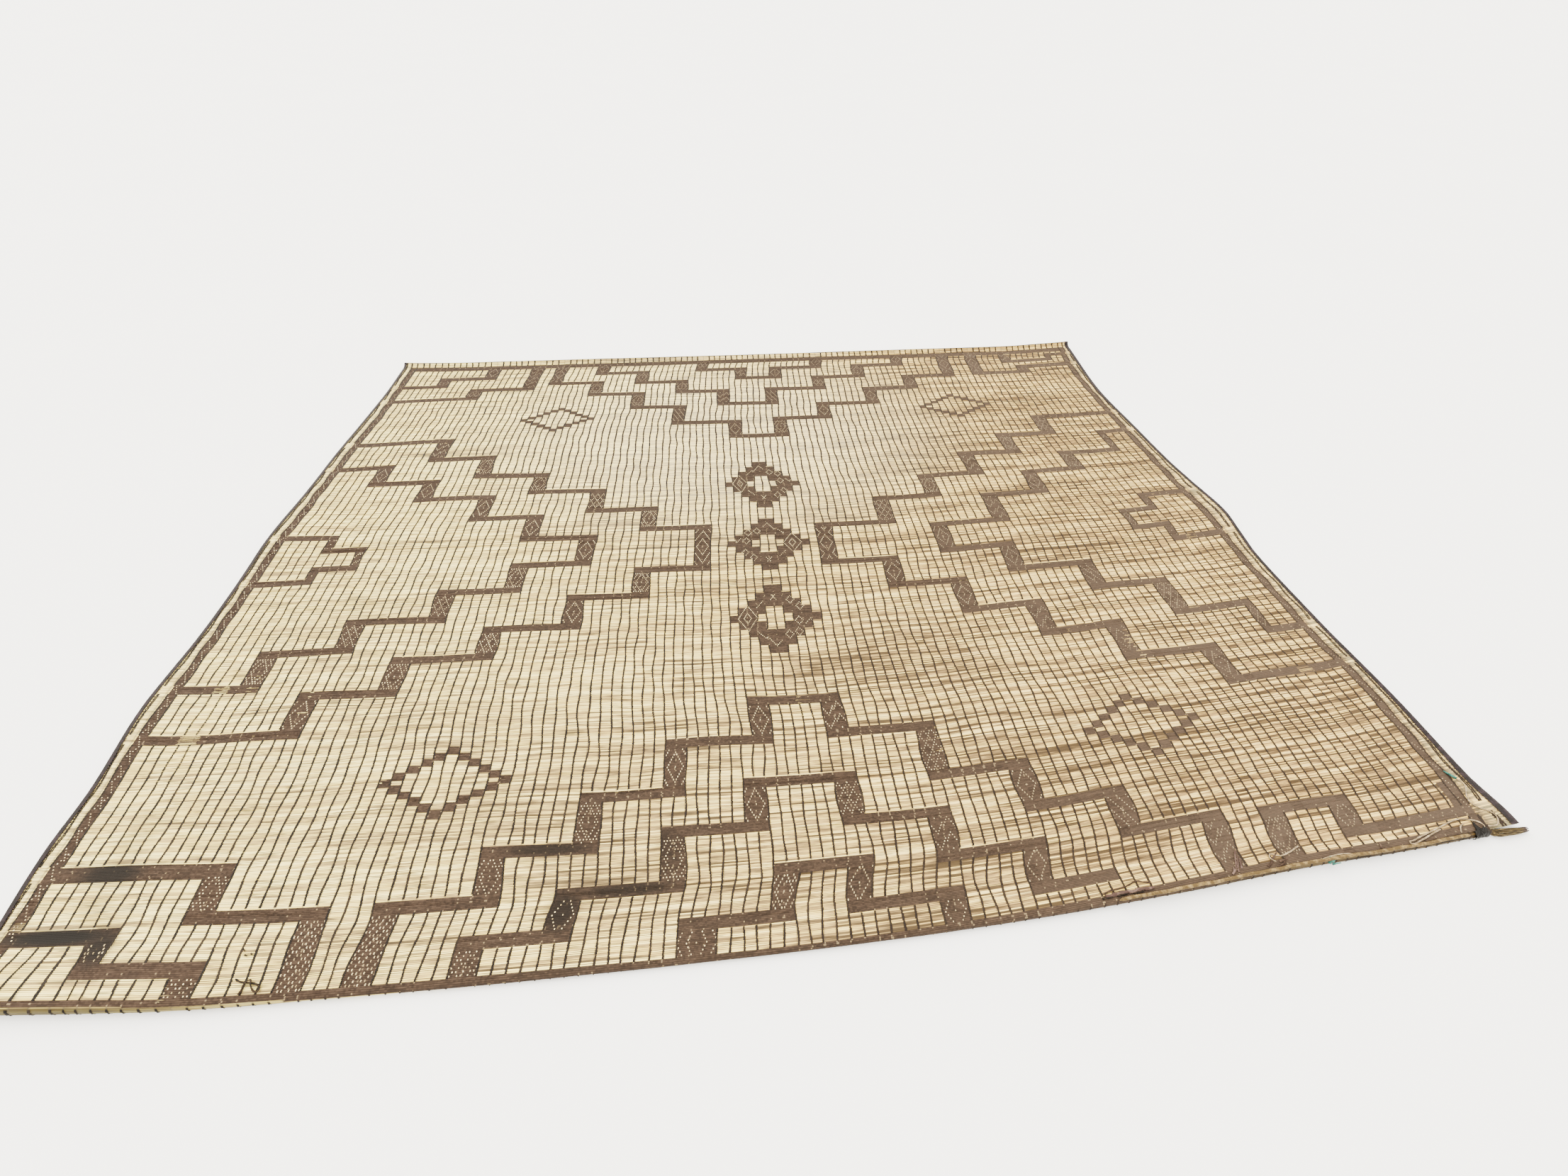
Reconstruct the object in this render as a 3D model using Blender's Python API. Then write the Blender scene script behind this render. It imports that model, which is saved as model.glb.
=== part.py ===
# Tuareg mat: reeds bound with leather thongs, lying flat, with leather-bound side edges.
# X runs along the reeds, Y runs away from the near edge, Z is up. The origin is on the underside.
import math

import bmesh
import bpy
from mathutils import Vector

# The woven sheet
SHEET_THICKNESS = 0.0042
BAND_WIDTH = 0.024
STRIP_WIDTH = 0.036
FOLD_SEGMENTS = 8
TUCK_SEGMENTS = 2
RISE_LENGTH = 0.16
RISE_ROWS = 7
FIELD_ROWS = 17
CURL_ROWS = 4
INNER_COLUMNS = 34
EDGE_OFFSETS = (0.0, 0.014, 0.045, 0.095)
NEAR_ROW_Y = -1.45
FAR_ROW_Y = 1.43
SIDE_RAISE = 0.0023
RAISE_FROM = 0.060
RAISE_TO = 0.014

# Leather along the side edges, folded over the reed ends
GAP = 0.0003
BINDING_WALL = 0.0016
BINDING_LEG = 0.010
BINDING_BULGE = 0.0030
BINDING_ARC_STEPS = 6

# Cord along the near edge
CORD_RADIUS = 0.0045
CORD_START_X = 0.755
CORD_END_X = 1.790
CORD_ANGLE = 14
CORD_STEP = 0.024
CORD_CLEARANCE = 0.0006

# Gathered reeds at the near right corner
BUNDLE_SIDES = 12
BUNDLE_CORE = 0.0058
BUNDLE_BODY = 0.0085
BUNDLE_TIP = 0.0045
BUNDLE_INSET = 0.050
BUNDLE_REACH = 0.118
BUNDLE_LANE = -0.0090
BUNDLE_SWAY = 0.003
BUNDLE_COLLAR = 0.0015
BUNDLE_FLOOR_GAP = 0.0004

# Black leather scrap at the near right corner
PATCH_WIDTH = 0.044
PATCH_FROM_END = 0.006
PATCH_THICKNESS = 0.0015
PATCH_FLAT_ROWS = (-0.022, -0.014, -0.007)
PATCH_FOLD_STEPS = 5

# Loose thongs
THONG_RADIUS = 0.0018
THONG_CLEARANCE = 0.0008
WHIPPING_LENGTH = 0.030
WHIPPING_RADII = (0.0038, 0.0030, 0.0016)

# Outer edges of the sheet: distance from the middle at each place along the mat
SIDE_EDGES = (
    # y, left, right
    (-1.52, -1.898, 1.953),
    (-1.34, -1.912, 1.960),
    (-1.10, -1.940, 1.954),
    (-0.92, -1.940, 1.945),
    (-0.66, -1.961, 1.935),
    (-0.36, -1.956, 1.929),
    (-0.20, -1.959, 1.944),
    (-0.08, -1.962, 1.957),
    (0.06, -1.965, 1.946),
    (0.30, -1.955, 1.916),
    (0.60, -1.955, 1.899),
    (0.92, -1.940, 1.882),
    (1.20, -1.929, 1.897),
    (1.48, -1.926, 1.912),
)

# Shape of the near edge: where the woven field ends, how much of the band lies on top,
# and the radius of the turn
NEAR_EDGE = (
    # x, field_end, band_on_top, turn_radius
    (-1.96, -1.408, 0.006, 0.0155),
    (-1.65, -1.438, 0.006, 0.0150),
    (-1.40, -1.461, 0.007, 0.0110),
    (-1.06, -1.475, 0.009, 0.0070),
    (-0.66, -1.487, 0.009, 0.0060),
    (0.00, -1.500, 0.004, 0.0058),
    (0.50, -1.488, 0.008, 0.0075),
    (0.93, -1.462, 0.014, 0.0095),
    (1.32, -1.435, 0.017, 0.0095),
    (1.60, -1.424, 0.019, 0.0090),
    (1.96, -1.400, 0.022, 0.0085),
)

# Shape of the far edge: where the woven field ends, and how steeply the strip beyond curls up
FAR_EDGE = (
    # x, field_end, curl_degrees
    (-1.96, 1.418, 36),
    (-1.00, 1.422, 32),
    (0.00, 1.421, 32),
    (0.80, 1.425, 38),
    (1.96, 1.424, 56),
)

# Soft waves where the mat doesn't lie flat
WAVES = (
    # x, y, reach_x, reach_y, height
    (1.95, 1.50, 0.50, 0.45, 0.017),
    (-1.95, 1.48, 0.35, 0.35, 0.007),
    (1.97, -0.10, 0.34, 0.26, 0.007),
    (-1.97, 0.16, 0.34, 0.40, 0.009),
    (-1.97, -0.72, 0.28, 0.30, 0.007),
    (1.97, -0.98, 0.28, 0.30, 0.006),
    (-0.95, 0.72, 0.55, 0.34, 0.005),
    (0.92, 0.48, 0.50, 0.34, 0.005),
    (0.75, -0.86, 0.55, 0.30, 0.006),
    (-0.85, -0.72, 0.50, 0.30, 0.005),
)

# Routes of the loose thongs over the mat, in plan
TIE_ROUTE = (
    (1.866, -1.4185), (1.881, -1.4205), (1.897, -1.4175), (1.908, -1.408), (1.914, -1.397),
    (1.913, -1.386), (1.903, -1.377), (1.890, -1.368), (1.884, -1.356), (1.888, -1.342),
    (1.898, -1.329), (1.911, -1.317), (1.920, -1.305), (1.921, -1.294), (1.9145, -1.2825),
)
LOOP_ROUTE = (
    (1.848, -1.391), (1.834, -1.394), (1.812, -1.393), (1.785, -1.391), (1.759, -1.394),
    (1.731, -1.402), (1.703, -1.411), (1.671, -1.420), (1.640, -1.4275), (1.620, -1.431),
    (1.609, -1.4265), (1.612, -1.4185), (1.624, -1.416), (1.645, -1.4145), (1.670, -1.408),
    (1.694, -1.401),
)
SMALL_LOOP_ROUTE = (
    (1.806, -1.4065), (1.796, -1.4085), (1.787, -1.4125), (1.7805, -1.419), (1.778, -1.4275),
)
KNOTTED_ROUTE = (
    (1.214, -1.444), (1.205, -1.441), (1.202, -1.432), (1.210, -1.426), (1.221, -1.430),
    (1.234, -1.433), (1.252, -1.430), (1.275, -1.423), (1.298, -1.415),
)
STUB_ROUTE = (
    (1.098, -1.4525), (1.099, -1.442), (1.103, -1.428), (1.111, -1.414), (1.124, -1.399),
)
TAIL_ROUTE = (
    (0.722, -1.473), (0.738, -1.4675), (0.756, -1.465), (0.775, -1.463), (0.795, -1.457),
    (0.812, -1.448), (0.826, -1.447), (0.838, -1.4525), (0.856, -1.455),
)
CURLED_ROUTE = (
    (-1.304, -1.434), (-1.287, -1.431), (-1.269, -1.434), (-1.254, -1.442), (-1.248, -1.452),
    (-1.257, -1.4595), (-1.270, -1.458), (-1.279, -1.450), (-1.277, -1.443),
)
ROUTE_SPACING = 0.0085

COLOURS = {
    # name: red, green, blue, roughness
    "reed": (0.62, 0.52, 0.30, 0.55),
    "edge_leather": (0.040, 0.022, 0.026, 0.60),
    "brown_leather": (0.18, 0.10, 0.066, 0.70),
    "black_leather": (0.012, 0.010, 0.010, 0.55),
    "pale_leather": (0.34, 0.28, 0.20, 0.70),
    "teal_thread": (0.03, 0.20, 0.18, 0.75),
}


def clear_scene():
    for item in list(bpy.data.objects):
        bpy.data.objects.remove(item, do_unlink=True)


def make_material(name):
    red, green, blue, roughness = COLOURS[name]
    material = bpy.data.materials.new(name)
    material.use_nodes = True
    shader = material.node_tree.nodes["Principled BSDF"]
    shader.inputs["Base Color"].default_value = (red, green, blue, 1.0)
    shader.inputs["Roughness"].default_value = roughness
    shader.inputs["Metallic"].default_value = 0.0
    return material


def add_object(name, mesh, material):
    item = bpy.data.objects.new(name, mesh)
    item.data.materials.append(material)
    bpy.context.scene.collection.objects.link(item)
    return item


def read_table(table, place, column):
    # Smooth curve through one column of a table, flat beyond its ends
    if place <= table[0][0]:
        return table[0][column]
    if place >= table[-1][0]:
        return table[-1][column]
    low = max(i for i, row in enumerate(table) if row[0] <= place)
    start, end = table[low], table[low + 1]
    before = table[max(low - 1, 0)]
    after = table[min(low + 2, len(table) - 1)]
    span = end[0] - start[0]
    t = (place - start[0]) / span
    slope_start = (end[column] - before[column]) / (end[0] - before[0]) * span
    slope_end = (after[column] - start[column]) / (after[0] - start[0]) * span
    return (
        (2 * t ** 3 - 3 * t ** 2 + 1) * start[column]
        + (t ** 3 - 2 * t ** 2 + t) * slope_start
        + (-2 * t ** 3 + 3 * t ** 2) * end[column]
        + (t ** 3 - t ** 2) * slope_end
    )


def smooth_step(value):
    value = min(max(value, 0.0), 1.0)
    return value * value * (3 - 2 * value)


def side_raise(from_edge):
    # The sheet's sides stand on the leather folded under them
    return SIDE_RAISE * smooth_step((RAISE_FROM - from_edge) / (RAISE_FROM - RAISE_TO))


def wave_height(x, y):
    height = 0.0
    for wave_x, wave_y, reach_x, reach_y, peak in WAVES:
        distance = math.hypot((x - wave_x) / reach_x, (y - wave_y) / reach_y)
        if distance < 1:
            height += peak * (1 + math.cos(math.pi * distance)) / 2
    return height


def fold_line(x):
    return read_table(NEAR_EDGE, x, 1) - read_table(NEAR_EDGE, x, 2)


def edge_distance(x, y):
    return min(x - read_table(SIDE_EDGES, y, 1), read_table(SIDE_EDGES, y, 2) - x)


def middle_height(x, y):
    # Height of the sheet's middle layer on its flat and rising part
    radius = read_table(NEAR_EDGE, x, 3)
    along = min(max((y - fold_line(x)) / RISE_LENGTH, 0.0), 1.0)
    rise = radius * (1 + math.cos(math.pi * along))
    return SHEET_THICKNESS / 2 + rise + wave_height(x, y) + side_raise(edge_distance(x, y))


def near_profile(x, height):
    # From the tucked end of the near strip, round the turn, to the top of the turn: (y, z)
    radius = read_table(NEAR_EDGE, x, 3)
    line = fold_line(x)
    band_on_top = read_table(NEAR_EDGE, x, 2)
    tuck = BAND_WIDTH + STRIP_WIDTH - band_on_top - math.pi * radius
    centre_z = height - radius
    profile = [
        (line + tuck * (1 - k / TUCK_SEGMENTS), centre_z - radius) for k in range(TUCK_SEGMENTS)
    ]
    for k in range(FOLD_SEGMENTS + 1):
        angle = math.pi * k / FOLD_SEGMENTS
        profile.append((line - radius * math.sin(angle), centre_z - radius * math.cos(angle)))
    return profile


def far_profile(x, start_y, start_z, slope):
    # The strip beyond the far band curls up: (y, z)
    total = math.radians(read_table(FAR_EDGE, x, 2))
    step = (BAND_WIDTH / 2 + STRIP_WIDTH) / CURL_ROWS
    y, z = start_y, start_z
    profile = []
    for k in range(CURL_ROWS):
        angle = slope + (total - slope) * (k + 0.5) / CURL_ROWS
        y += step * math.cos(angle)
        z += step * math.sin(angle)
        profile.append((y, z))
    return profile


def column_fractions():
    # Places across the sheet, 0 to 1: close together at the side edges, even between
    width = read_table(SIDE_EDGES, 0.0, 2) - read_table(SIDE_EDGES, 0.0, 1)
    left = [offset / width for offset in EDGE_OFFSETS]
    right = [1 - offset / width for offset in reversed(EDGE_OFFSETS)]
    gap = (right[0] - left[-1]) / INNER_COLUMNS
    inner = [left[-1] + gap * k for k in range(1, INNER_COLUMNS)]
    return left + inner + right


def side_x(fraction, y):
    left = read_table(SIDE_EDGES, y, 1)
    right = read_table(SIDE_EDGES, y, 2)
    return left + (right - left) * fraction


def sheet_points():
    # Middle layer of the sheet, one list for each place across it, near end first
    columns = []
    for fraction in column_fractions():
        x_near = side_x(fraction, NEAR_ROW_Y)
        line = fold_line(x_near)
        top = middle_height(x_near, line)
        column = [Vector((x_near, y, z)) for y, z in near_profile(x_near, top)]
        x_far = side_x(fraction, FAR_ROW_Y)
        far_line = read_table(FAR_EDGE, x_far, 1) + BAND_WIDTH / 2
        rows = [line + RISE_LENGTH * k / RISE_ROWS for k in range(1, RISE_ROWS + 1)]
        flat_start = rows[-1]
        rows += [
            flat_start + (far_line - flat_start) * k / FIELD_ROWS for k in range(1, FIELD_ROWS + 1)
        ]
        for y in rows:
            x = side_x(fraction, y)
            column.append(Vector((x, y, middle_height(x, y))))
        last, before = column[-1], column[-2]
        slope = math.atan2(last.z - before.z, last.y - before.y)
        for y, z in far_profile(x_far, last.y, last.z, slope):
            column.append(Vector((side_x(fraction, y), y, z)))
        columns.append(column)
    return columns


def sheet_normals(columns):
    # Upward normal and the mitre factor at each point of the middle layer
    normals = []
    for i, column in enumerate(columns):
        row_normals = []
        left = columns[max(i - 1, 0)]
        right = columns[min(i + 1, len(columns) - 1)]
        for j, point in enumerate(column):
            before = point - column[j - 1] if j > 0 else column[1] - point
            after = column[j + 1] - point if j < len(column) - 1 else before
            before, after = before.normalized(), after.normalized()
            across = right[j] - left[j]
            normal = across.cross(before + after).normalized()
            mitre = 1 / math.cos(before.angle(after) / 2)
            row_normals.append((normal, mitre))
        normals.append(row_normals)
    return normals


def skin_sheet(columns, normals, thickness, kept, lift=0.0):
    # Closed shell of even thickness round the points that kept(i, j) allows as cells
    mesh_tool = bmesh.new()
    layers = []
    for offset in (lift + thickness / 2, lift - thickness / 2):
        layer = []
        for column, row_normals in zip(columns, normals):
            layer.append([
                mesh_tool.verts.new(point + normal * (offset * mitre))
                for point, (normal, mitre) in zip(column, row_normals)
            ])
        layers.append(layer)
    top, bottom = layers
    edge_count = {}
    for i in range(len(columns) - 1):
        for j in range(len(columns[0]) - 1):
            if not kept(i, j):
                continue
            ring = [(i, j), (i + 1, j), (i + 1, j + 1), (i, j + 1)]
            mesh_tool.faces.new([top[a][b] for a, b in ring])
            mesh_tool.faces.new([bottom[a][b] for a, b in reversed(ring)])
            for start, end in zip(ring, ring[1:] + ring[:1]):
                edge_count[(start, end)] = True
    for start, end in edge_count:
        if (end, start) in edge_count:
            continue
        (a, b), (c, d) = start, end
        mesh_tool.faces.new([top[c][d], top[a][b], bottom[a][b], bottom[c][d]])
    loose = [vert for vert in mesh_tool.verts if not vert.link_faces]
    bmesh.ops.delete(mesh_tool, geom=loose, context="VERTS")
    return mesh_tool


def finish_mesh(mesh_tool, name, smooth_angle=35):
    mesh = bpy.data.meshes.new(name)
    mesh_tool.to_mesh(mesh)
    mesh_tool.free()
    mesh.shade_smooth()
    mesh.set_sharp_from_angle(angle=math.radians(smooth_angle))
    return mesh


def make_reed_mat(columns, normals, material):
    # The near strip stops short of the right edge, where its reeds are gathered in a bundle
    top_row = TUCK_SEGMENTS + FOLD_SEGMENTS
    last_folded = len(columns) - len(EDGE_OFFSETS)

    def kept(i, j):
        return j >= top_row or i < last_folded

    mesh_tool = skin_sheet(columns, normals, SHEET_THICKNESS, kept)
    add_object("reed_mat", finish_mesh(mesh_tool, "reed_mat"), material)


def binding_section():
    # Leather folded over the edge, seen along it: (outward, up) from the edge's middle
    inner = SHEET_THICKNESS / 2 + GAP
    outer = inner + BINDING_WALL
    points = [(-BINDING_LEG, outer)]
    for k in range(BINDING_ARC_STEPS + 1):
        angle = math.pi / 2 - math.pi * k / BINDING_ARC_STEPS
        points.append((GAP + BINDING_BULGE * math.cos(angle), outer * math.sin(angle)))
    points += [(-BINDING_LEG, -outer), (-BINDING_LEG, -inner)]
    points += [(GAP, -inner), (GAP, inner), (-BINDING_LEG, inner)]
    return points


def make_binding(name, edge, inner_column, row_normals, first_row, material):
    section = binding_section()
    mesh_tool = bmesh.new()
    rings = []
    for j in range(first_row, len(edge)):
        normal, mitre = row_normals[j]
        before = edge[max(j - 1, first_row)]
        after = edge[min(j + 1, len(edge) - 1)]
        tangent = (after - before).normalized()
        outward = tangent.cross(normal).normalized()
        if outward.dot(edge[j] - inner_column[j]) < 0:
            outward = -outward
        ring = []
        for out, up in section:
            place = edge[j] + outward * out + normal * (up * mitre)
            ring.append(mesh_tool.verts.new(place))
        rings.append(ring)
    count = len(section)
    for start, end in zip(rings, rings[1:]):
        for k in range(count):
            after = (k + 1) % count
            mesh_tool.faces.new([start[k], start[after], end[after], end[k]])
    mesh_tool.faces.new(list(reversed(rings[0])))
    mesh_tool.faces.new(rings[-1])
    bmesh.ops.triangulate(mesh_tool, faces=[f for f in mesh_tool.faces if len(f.verts) > 4])
    bmesh.ops.recalc_face_normals(mesh_tool, faces=mesh_tool.faces)
    add_object(name, finish_mesh(mesh_tool, name, 50), material)


def smooth_route(route, spacing):
    # Points at an even spacing on a smooth curve through the route's own points
    dense = []
    for k in range(len(route) - 1):
        start, end = route[k], route[k + 1]
        before = route[k - 1] if k > 0 else start * 2 - end
        after = route[k + 2] if k + 2 < len(route) else end * 2 - start
        for step in range(12):
            t = step / 12
            dense.append(
                (start * 2
                 + (end - before) * t
                 + (before * 2 - start * 5 + end * 4 - after) * t ** 2
                 + (start * 3 - before - end * 3 + after) * t ** 3) / 2
            )
    dense.append(route[-1])
    lengths = [0.0]
    for start, end in zip(dense, dense[1:]):
        lengths.append(lengths[-1] + (end - start).length)
    count = max(2, round(lengths[-1] / spacing))
    points = []
    low = 0
    for k in range(count + 1):
        wanted = lengths[-1] * k / count
        while low < len(lengths) - 2 and lengths[low + 1] < wanted:
            low += 1
        t = (wanted - lengths[low]) / (lengths[low + 1] - lengths[low])
        points.append(dense[low].lerp(dense[low + 1], t))
    return points


def make_tube(name, points, radius, material):
    curve = bpy.data.curves.new(name, "CURVE")
    curve.dimensions = "3D"
    curve.bevel_depth = radius
    curve.bevel_resolution = 2
    curve.use_fill_caps = True
    spline = curve.splines.new("POLY")
    spline.points.add(len(points) - 1)
    for place, point in zip(spline.points, points):
        place.co = (point.x, point.y, point.z, 1.0)
    return add_object(name, curve, material)


def make_thong(name, route, material):
    # A loose thong lies on the mat's upper side
    lift = SHEET_THICKNESS / 2 + THONG_CLEARANCE + THONG_RADIUS
    places = [Vector((x, y, middle_height(x, y) + lift)) for x, y in route]
    points = smooth_route(places, ROUTE_SPACING)
    make_tube(name, points, THONG_RADIUS, material)
    return points


def make_edge_cord(material):
    # Sewn along the outer shoulder of the near turn
    angle = math.radians(CORD_ANGLE)
    count = round((CORD_END_X - CORD_START_X) / CORD_STEP)
    points = []
    for k in range(count + 1):
        x = CORD_START_X + (CORD_END_X - CORD_START_X) * k / count
        line = fold_line(x)
        radius = read_table(NEAR_EDGE, x, 3)
        reach = radius + SHEET_THICKNESS / 2 + CORD_CLEARANCE + CORD_RADIUS
        centre = middle_height(x, line) - radius
        points.append(Vector((x, line - reach * math.sin(angle), centre + reach * math.cos(angle))))
    make_tube("edge_cord", points, CORD_RADIUS, material)


def make_turned(name, stations, sides, material):
    # Solid of round sections: each station is a centre, its direction and a radius
    mesh_tool = bmesh.new()
    rings = []
    for centre, direction, radius in stations:
        level = Vector((0, 0, 1)).cross(direction).normalized()
        upright = direction.cross(level).normalized()
        ring = []
        for k in range(sides):
            angle = 2 * math.pi * k / sides
            offset = level * (radius * math.cos(angle)) + upright * (radius * math.sin(angle))
            ring.append(mesh_tool.verts.new(centre + offset))
        rings.append(ring)
    for start, end in zip(rings, rings[1:]):
        for k in range(sides):
            after = (k + 1) % sides
            mesh_tool.faces.new([start[k], start[after], end[after], end[k]])
    mesh_tool.faces.new(list(reversed(rings[0])))
    mesh_tool.faces.new(rings[-1])
    bmesh.ops.recalc_face_normals(mesh_tool, faces=mesh_tool.faces)
    add_object(name, finish_mesh(mesh_tool, name, 40), material)


def make_reed_bundle(turn_end, material):
    # Its inner end lies in the turn of the near strip, the rest lies on the floor
    centres = []
    for along in (-BUNDLE_INSET, BUNDLE_COLLAR):
        x = turn_end.x + along
        radius = read_table(NEAR_EDGE, x, 3)
        line = fold_line(x)
        centres.append((Vector((x, line, middle_height(x, line) - radius)), BUNDLE_CORE))
    lane = fold_line(turn_end.x) + BUNDLE_LANE
    shape = (
        # share of the reach, radius
        (0.14, BUNDLE_BODY * 0.88),
        (0.32, BUNDLE_BODY),
        (0.60, BUNDLE_BODY * 0.92),
        (0.82, BUNDLE_BODY * 0.76),
        (0.95, BUNDLE_TIP * 1.2),
        (1.00, BUNDLE_TIP),
    )
    for share, radius in shape:
        sideways = BUNDLE_SWAY * math.sin(math.pi * share)
        x = turn_end.x + BUNDLE_REACH * share
        centres.append((Vector((x, lane - sideways, radius + BUNDLE_FLOOR_GAP)), radius))
    stations = []
    for k, (centre, radius) in enumerate(centres):
        before = centres[max(k - 1, 0)][0]
        after = centres[min(k + 1, len(centres) - 1)][0]
        direction = Vector((1, 0, 0)) if k < 2 else (after - before).normalized()
        stations.append((centre, direction, radius))
    make_turned("reed_bundle", stations, BUNDLE_SIDES, material)


def make_corner_patch(turn_end, material):
    # A leather scrap over the band and round the outside of the turn
    columns = []
    for k in range(4):
        x = turn_end.x - PATCH_FROM_END - PATCH_WIDTH * (1 - k / 3)
        line = fold_line(x)
        radius = read_table(NEAR_EDGE, x, 3)
        top = middle_height(x, line)
        column = []
        for step in range(PATCH_FOLD_STEPS, 0, -1):
            angle = math.pi * step / FOLD_SEGMENTS
            y = line - radius * math.sin(angle)
            column.append(Vector((x, y, top - radius + radius * math.cos(angle))))
        column.append(Vector((x, line, top)))
        for back in reversed(PATCH_FLAT_ROWS):
            column.append(Vector((x, line - back, middle_height(x, line - back))))
        columns.append(column)
    normals = sheet_normals(columns)
    lift = SHEET_THICKNESS / 2 + GAP * 2 + PATCH_THICKNESS / 2
    mesh_tool = skin_sheet(columns, normals, PATCH_THICKNESS, lambda i, j: True, lift)
    add_object("corner_patch", finish_mesh(mesh_tool, "corner_patch"), material)


def make_whipping(end, direction, material):
    # Teal thread wound round the free end of the tie thong
    start = end + direction * GAP
    stations = []
    for k, radius in enumerate(WHIPPING_RADII):
        share = k / (len(WHIPPING_RADII) - 1)
        stations.append((start + direction * (WHIPPING_LENGTH * share), direction, radius))
    make_turned("teal_whipping", stations, 10, material)


def main():
    clear_scene()
    materials = {name: make_material(name) for name in COLOURS}
    columns = sheet_points()
    normals = sheet_normals(columns)
    make_reed_mat(columns, normals, materials["reed"])
    leather = materials["edge_leather"]
    make_binding("left_binding", columns[0], columns[1], normals[0], 0, leather)
    top_row = TUCK_SEGMENTS + FOLD_SEGMENTS
    make_binding("right_binding", columns[-1], columns[-2], normals[-1], top_row, leather)
    turn_end = columns[-len(EDGE_OFFSETS)][top_row]
    make_edge_cord(materials["brown_leather"])
    make_reed_bundle(turn_end, materials["reed"])
    make_corner_patch(turn_end, materials["black_leather"])
    tie = make_thong("tie_thong", TIE_ROUTE, materials["pale_leather"])
    lifted = tie[-1] + Vector((0, 0, WHIPPING_RADII[0] - THONG_RADIUS))
    heading = (tie[-1] - tie[-2]).normalized()
    make_whipping(lifted, heading, materials["teal_thread"])
    make_thong("loop_thong", LOOP_ROUTE, materials["pale_leather"])
    make_thong("small_loop_thong", SMALL_LOOP_ROUTE, materials["pale_leather"])
    make_thong("knotted_thong", KNOTTED_ROUTE, materials["brown_leather"])
    make_thong("stub_thong", STUB_ROUTE, materials["brown_leather"])
    make_thong("tail_thong", TAIL_ROUTE, materials["brown_leather"])
    make_thong("curled_thong", CURLED_ROUTE, materials["brown_leather"])


main()
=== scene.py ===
# Tuareg mat laid on the floor: reeds across it, bound with leather thongs that run away from the
# near edge, with stepped bands and diamonds woven in brown leather and a folded leather binding.
# X runs along the reeds, Y away from the near edge, Z up. Everything is in metres.
import math

import bpy
import numpy as np
from mathutils import Matrix, Vector


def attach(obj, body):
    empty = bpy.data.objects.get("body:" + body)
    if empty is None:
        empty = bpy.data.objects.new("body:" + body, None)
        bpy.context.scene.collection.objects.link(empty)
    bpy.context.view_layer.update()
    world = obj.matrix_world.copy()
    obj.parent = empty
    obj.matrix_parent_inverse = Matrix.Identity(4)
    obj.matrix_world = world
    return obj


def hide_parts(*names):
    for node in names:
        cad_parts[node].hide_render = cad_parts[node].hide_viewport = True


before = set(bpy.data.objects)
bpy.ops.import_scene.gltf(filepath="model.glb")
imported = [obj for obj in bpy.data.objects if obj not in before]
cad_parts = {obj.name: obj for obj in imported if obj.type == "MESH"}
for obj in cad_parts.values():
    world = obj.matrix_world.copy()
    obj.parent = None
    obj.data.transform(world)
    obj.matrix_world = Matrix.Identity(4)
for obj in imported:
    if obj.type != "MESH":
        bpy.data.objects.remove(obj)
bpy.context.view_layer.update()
print("frame loaded")

# the phone that looks at the mat: its place, its three axes and its wide lens
camera = {
    "place": (-0.1037, -1.7668, 1.5795),
    "right": (0.99383, -0.10851, 0.02296),
    "up": (0.06543, 0.74075, 0.66859),
    "back": (-0.08956, -0.66296, 0.74328),
    "imageWidth": 2212,
    "focalPixels": 802.04,
    "centreX": 1133,
    "sensor": 36,          # mm
    "clipStart": 0.02,
}


def makeCamera():
    data = bpy.data.cameras.new("photoCamera")
    data.sensor_width = camera["sensor"]
    data.lens = camera["sensor"] * camera["focalPixels"] / camera["imageWidth"]
    data.shift_x = 0.5 - camera["centreX"] / camera["imageWidth"]
    data.clip_start = camera["clipStart"]
    eye = bpy.data.objects.new("photoCamera", data)
    bpy.context.scene.collection.objects.link(eye)
    axes = Matrix((camera["right"], camera["up"], camera["back"])).transposed().to_4x4()
    eye.matrix_world = Matrix.Translation(camera["place"]) @ axes
    bpy.context.scene.camera = eye


makeCamera()

# shape of the mat, the same as the solids'
sheet = {
    "thickness": 0.0042,
    "bandWidth": 0.024,    # leather band along the near and the far edge
    "stripWidth": 0.036,   # tucked under at the near edge, curled up at the far edge
    "riseLength": 0.16,
    "nearRowY": -1.45,
    "farRowY": 1.43,
    "sideRaise": 0.0023,
    "raiseFrom": 0.060,
    "raiseTo": 0.014,
    "foldStopsShort": 0.095,
    "pressed": 0.42,       # how much flatter the reeds are where the tucked strip lies on the floor
    "pressedFrom": 1.9,    # radians round the near turn
    "pressedOver": 0.9,
}
sideEdges = np.array((  # y, left, right
    (-1.52, -1.898, 1.953), (-1.34, -1.912, 1.960), (-1.10, -1.940, 1.954),
    (-0.92, -1.940, 1.945), (-0.66, -1.961, 1.935), (-0.36, -1.956, 1.929),
    (-0.20, -1.959, 1.944), (-0.08, -1.962, 1.957), (0.06, -1.965, 1.946),
    (0.30, -1.955, 1.916), (0.60, -1.955, 1.899), (0.92, -1.940, 1.882),
    (1.20, -1.929, 1.897), (1.48, -1.926, 1.912),
))
nearEdge = np.array((  # x, where the field ends, band on top, turn radius
    (-1.96, -1.408, 0.006, 0.0155), (-1.65, -1.438, 0.006, 0.0150),
    (-1.40, -1.461, 0.007, 0.0110), (-1.06, -1.475, 0.009, 0.0070),
    (-0.66, -1.487, 0.009, 0.0060), (0.00, -1.500, 0.004, 0.0058),
    (0.50, -1.488, 0.008, 0.0075), (0.93, -1.462, 0.014, 0.0095),
    (1.32, -1.435, 0.017, 0.0095), (1.60, -1.424, 0.019, 0.0090),
    (1.96, -1.400, 0.022, 0.0085),
))
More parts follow.
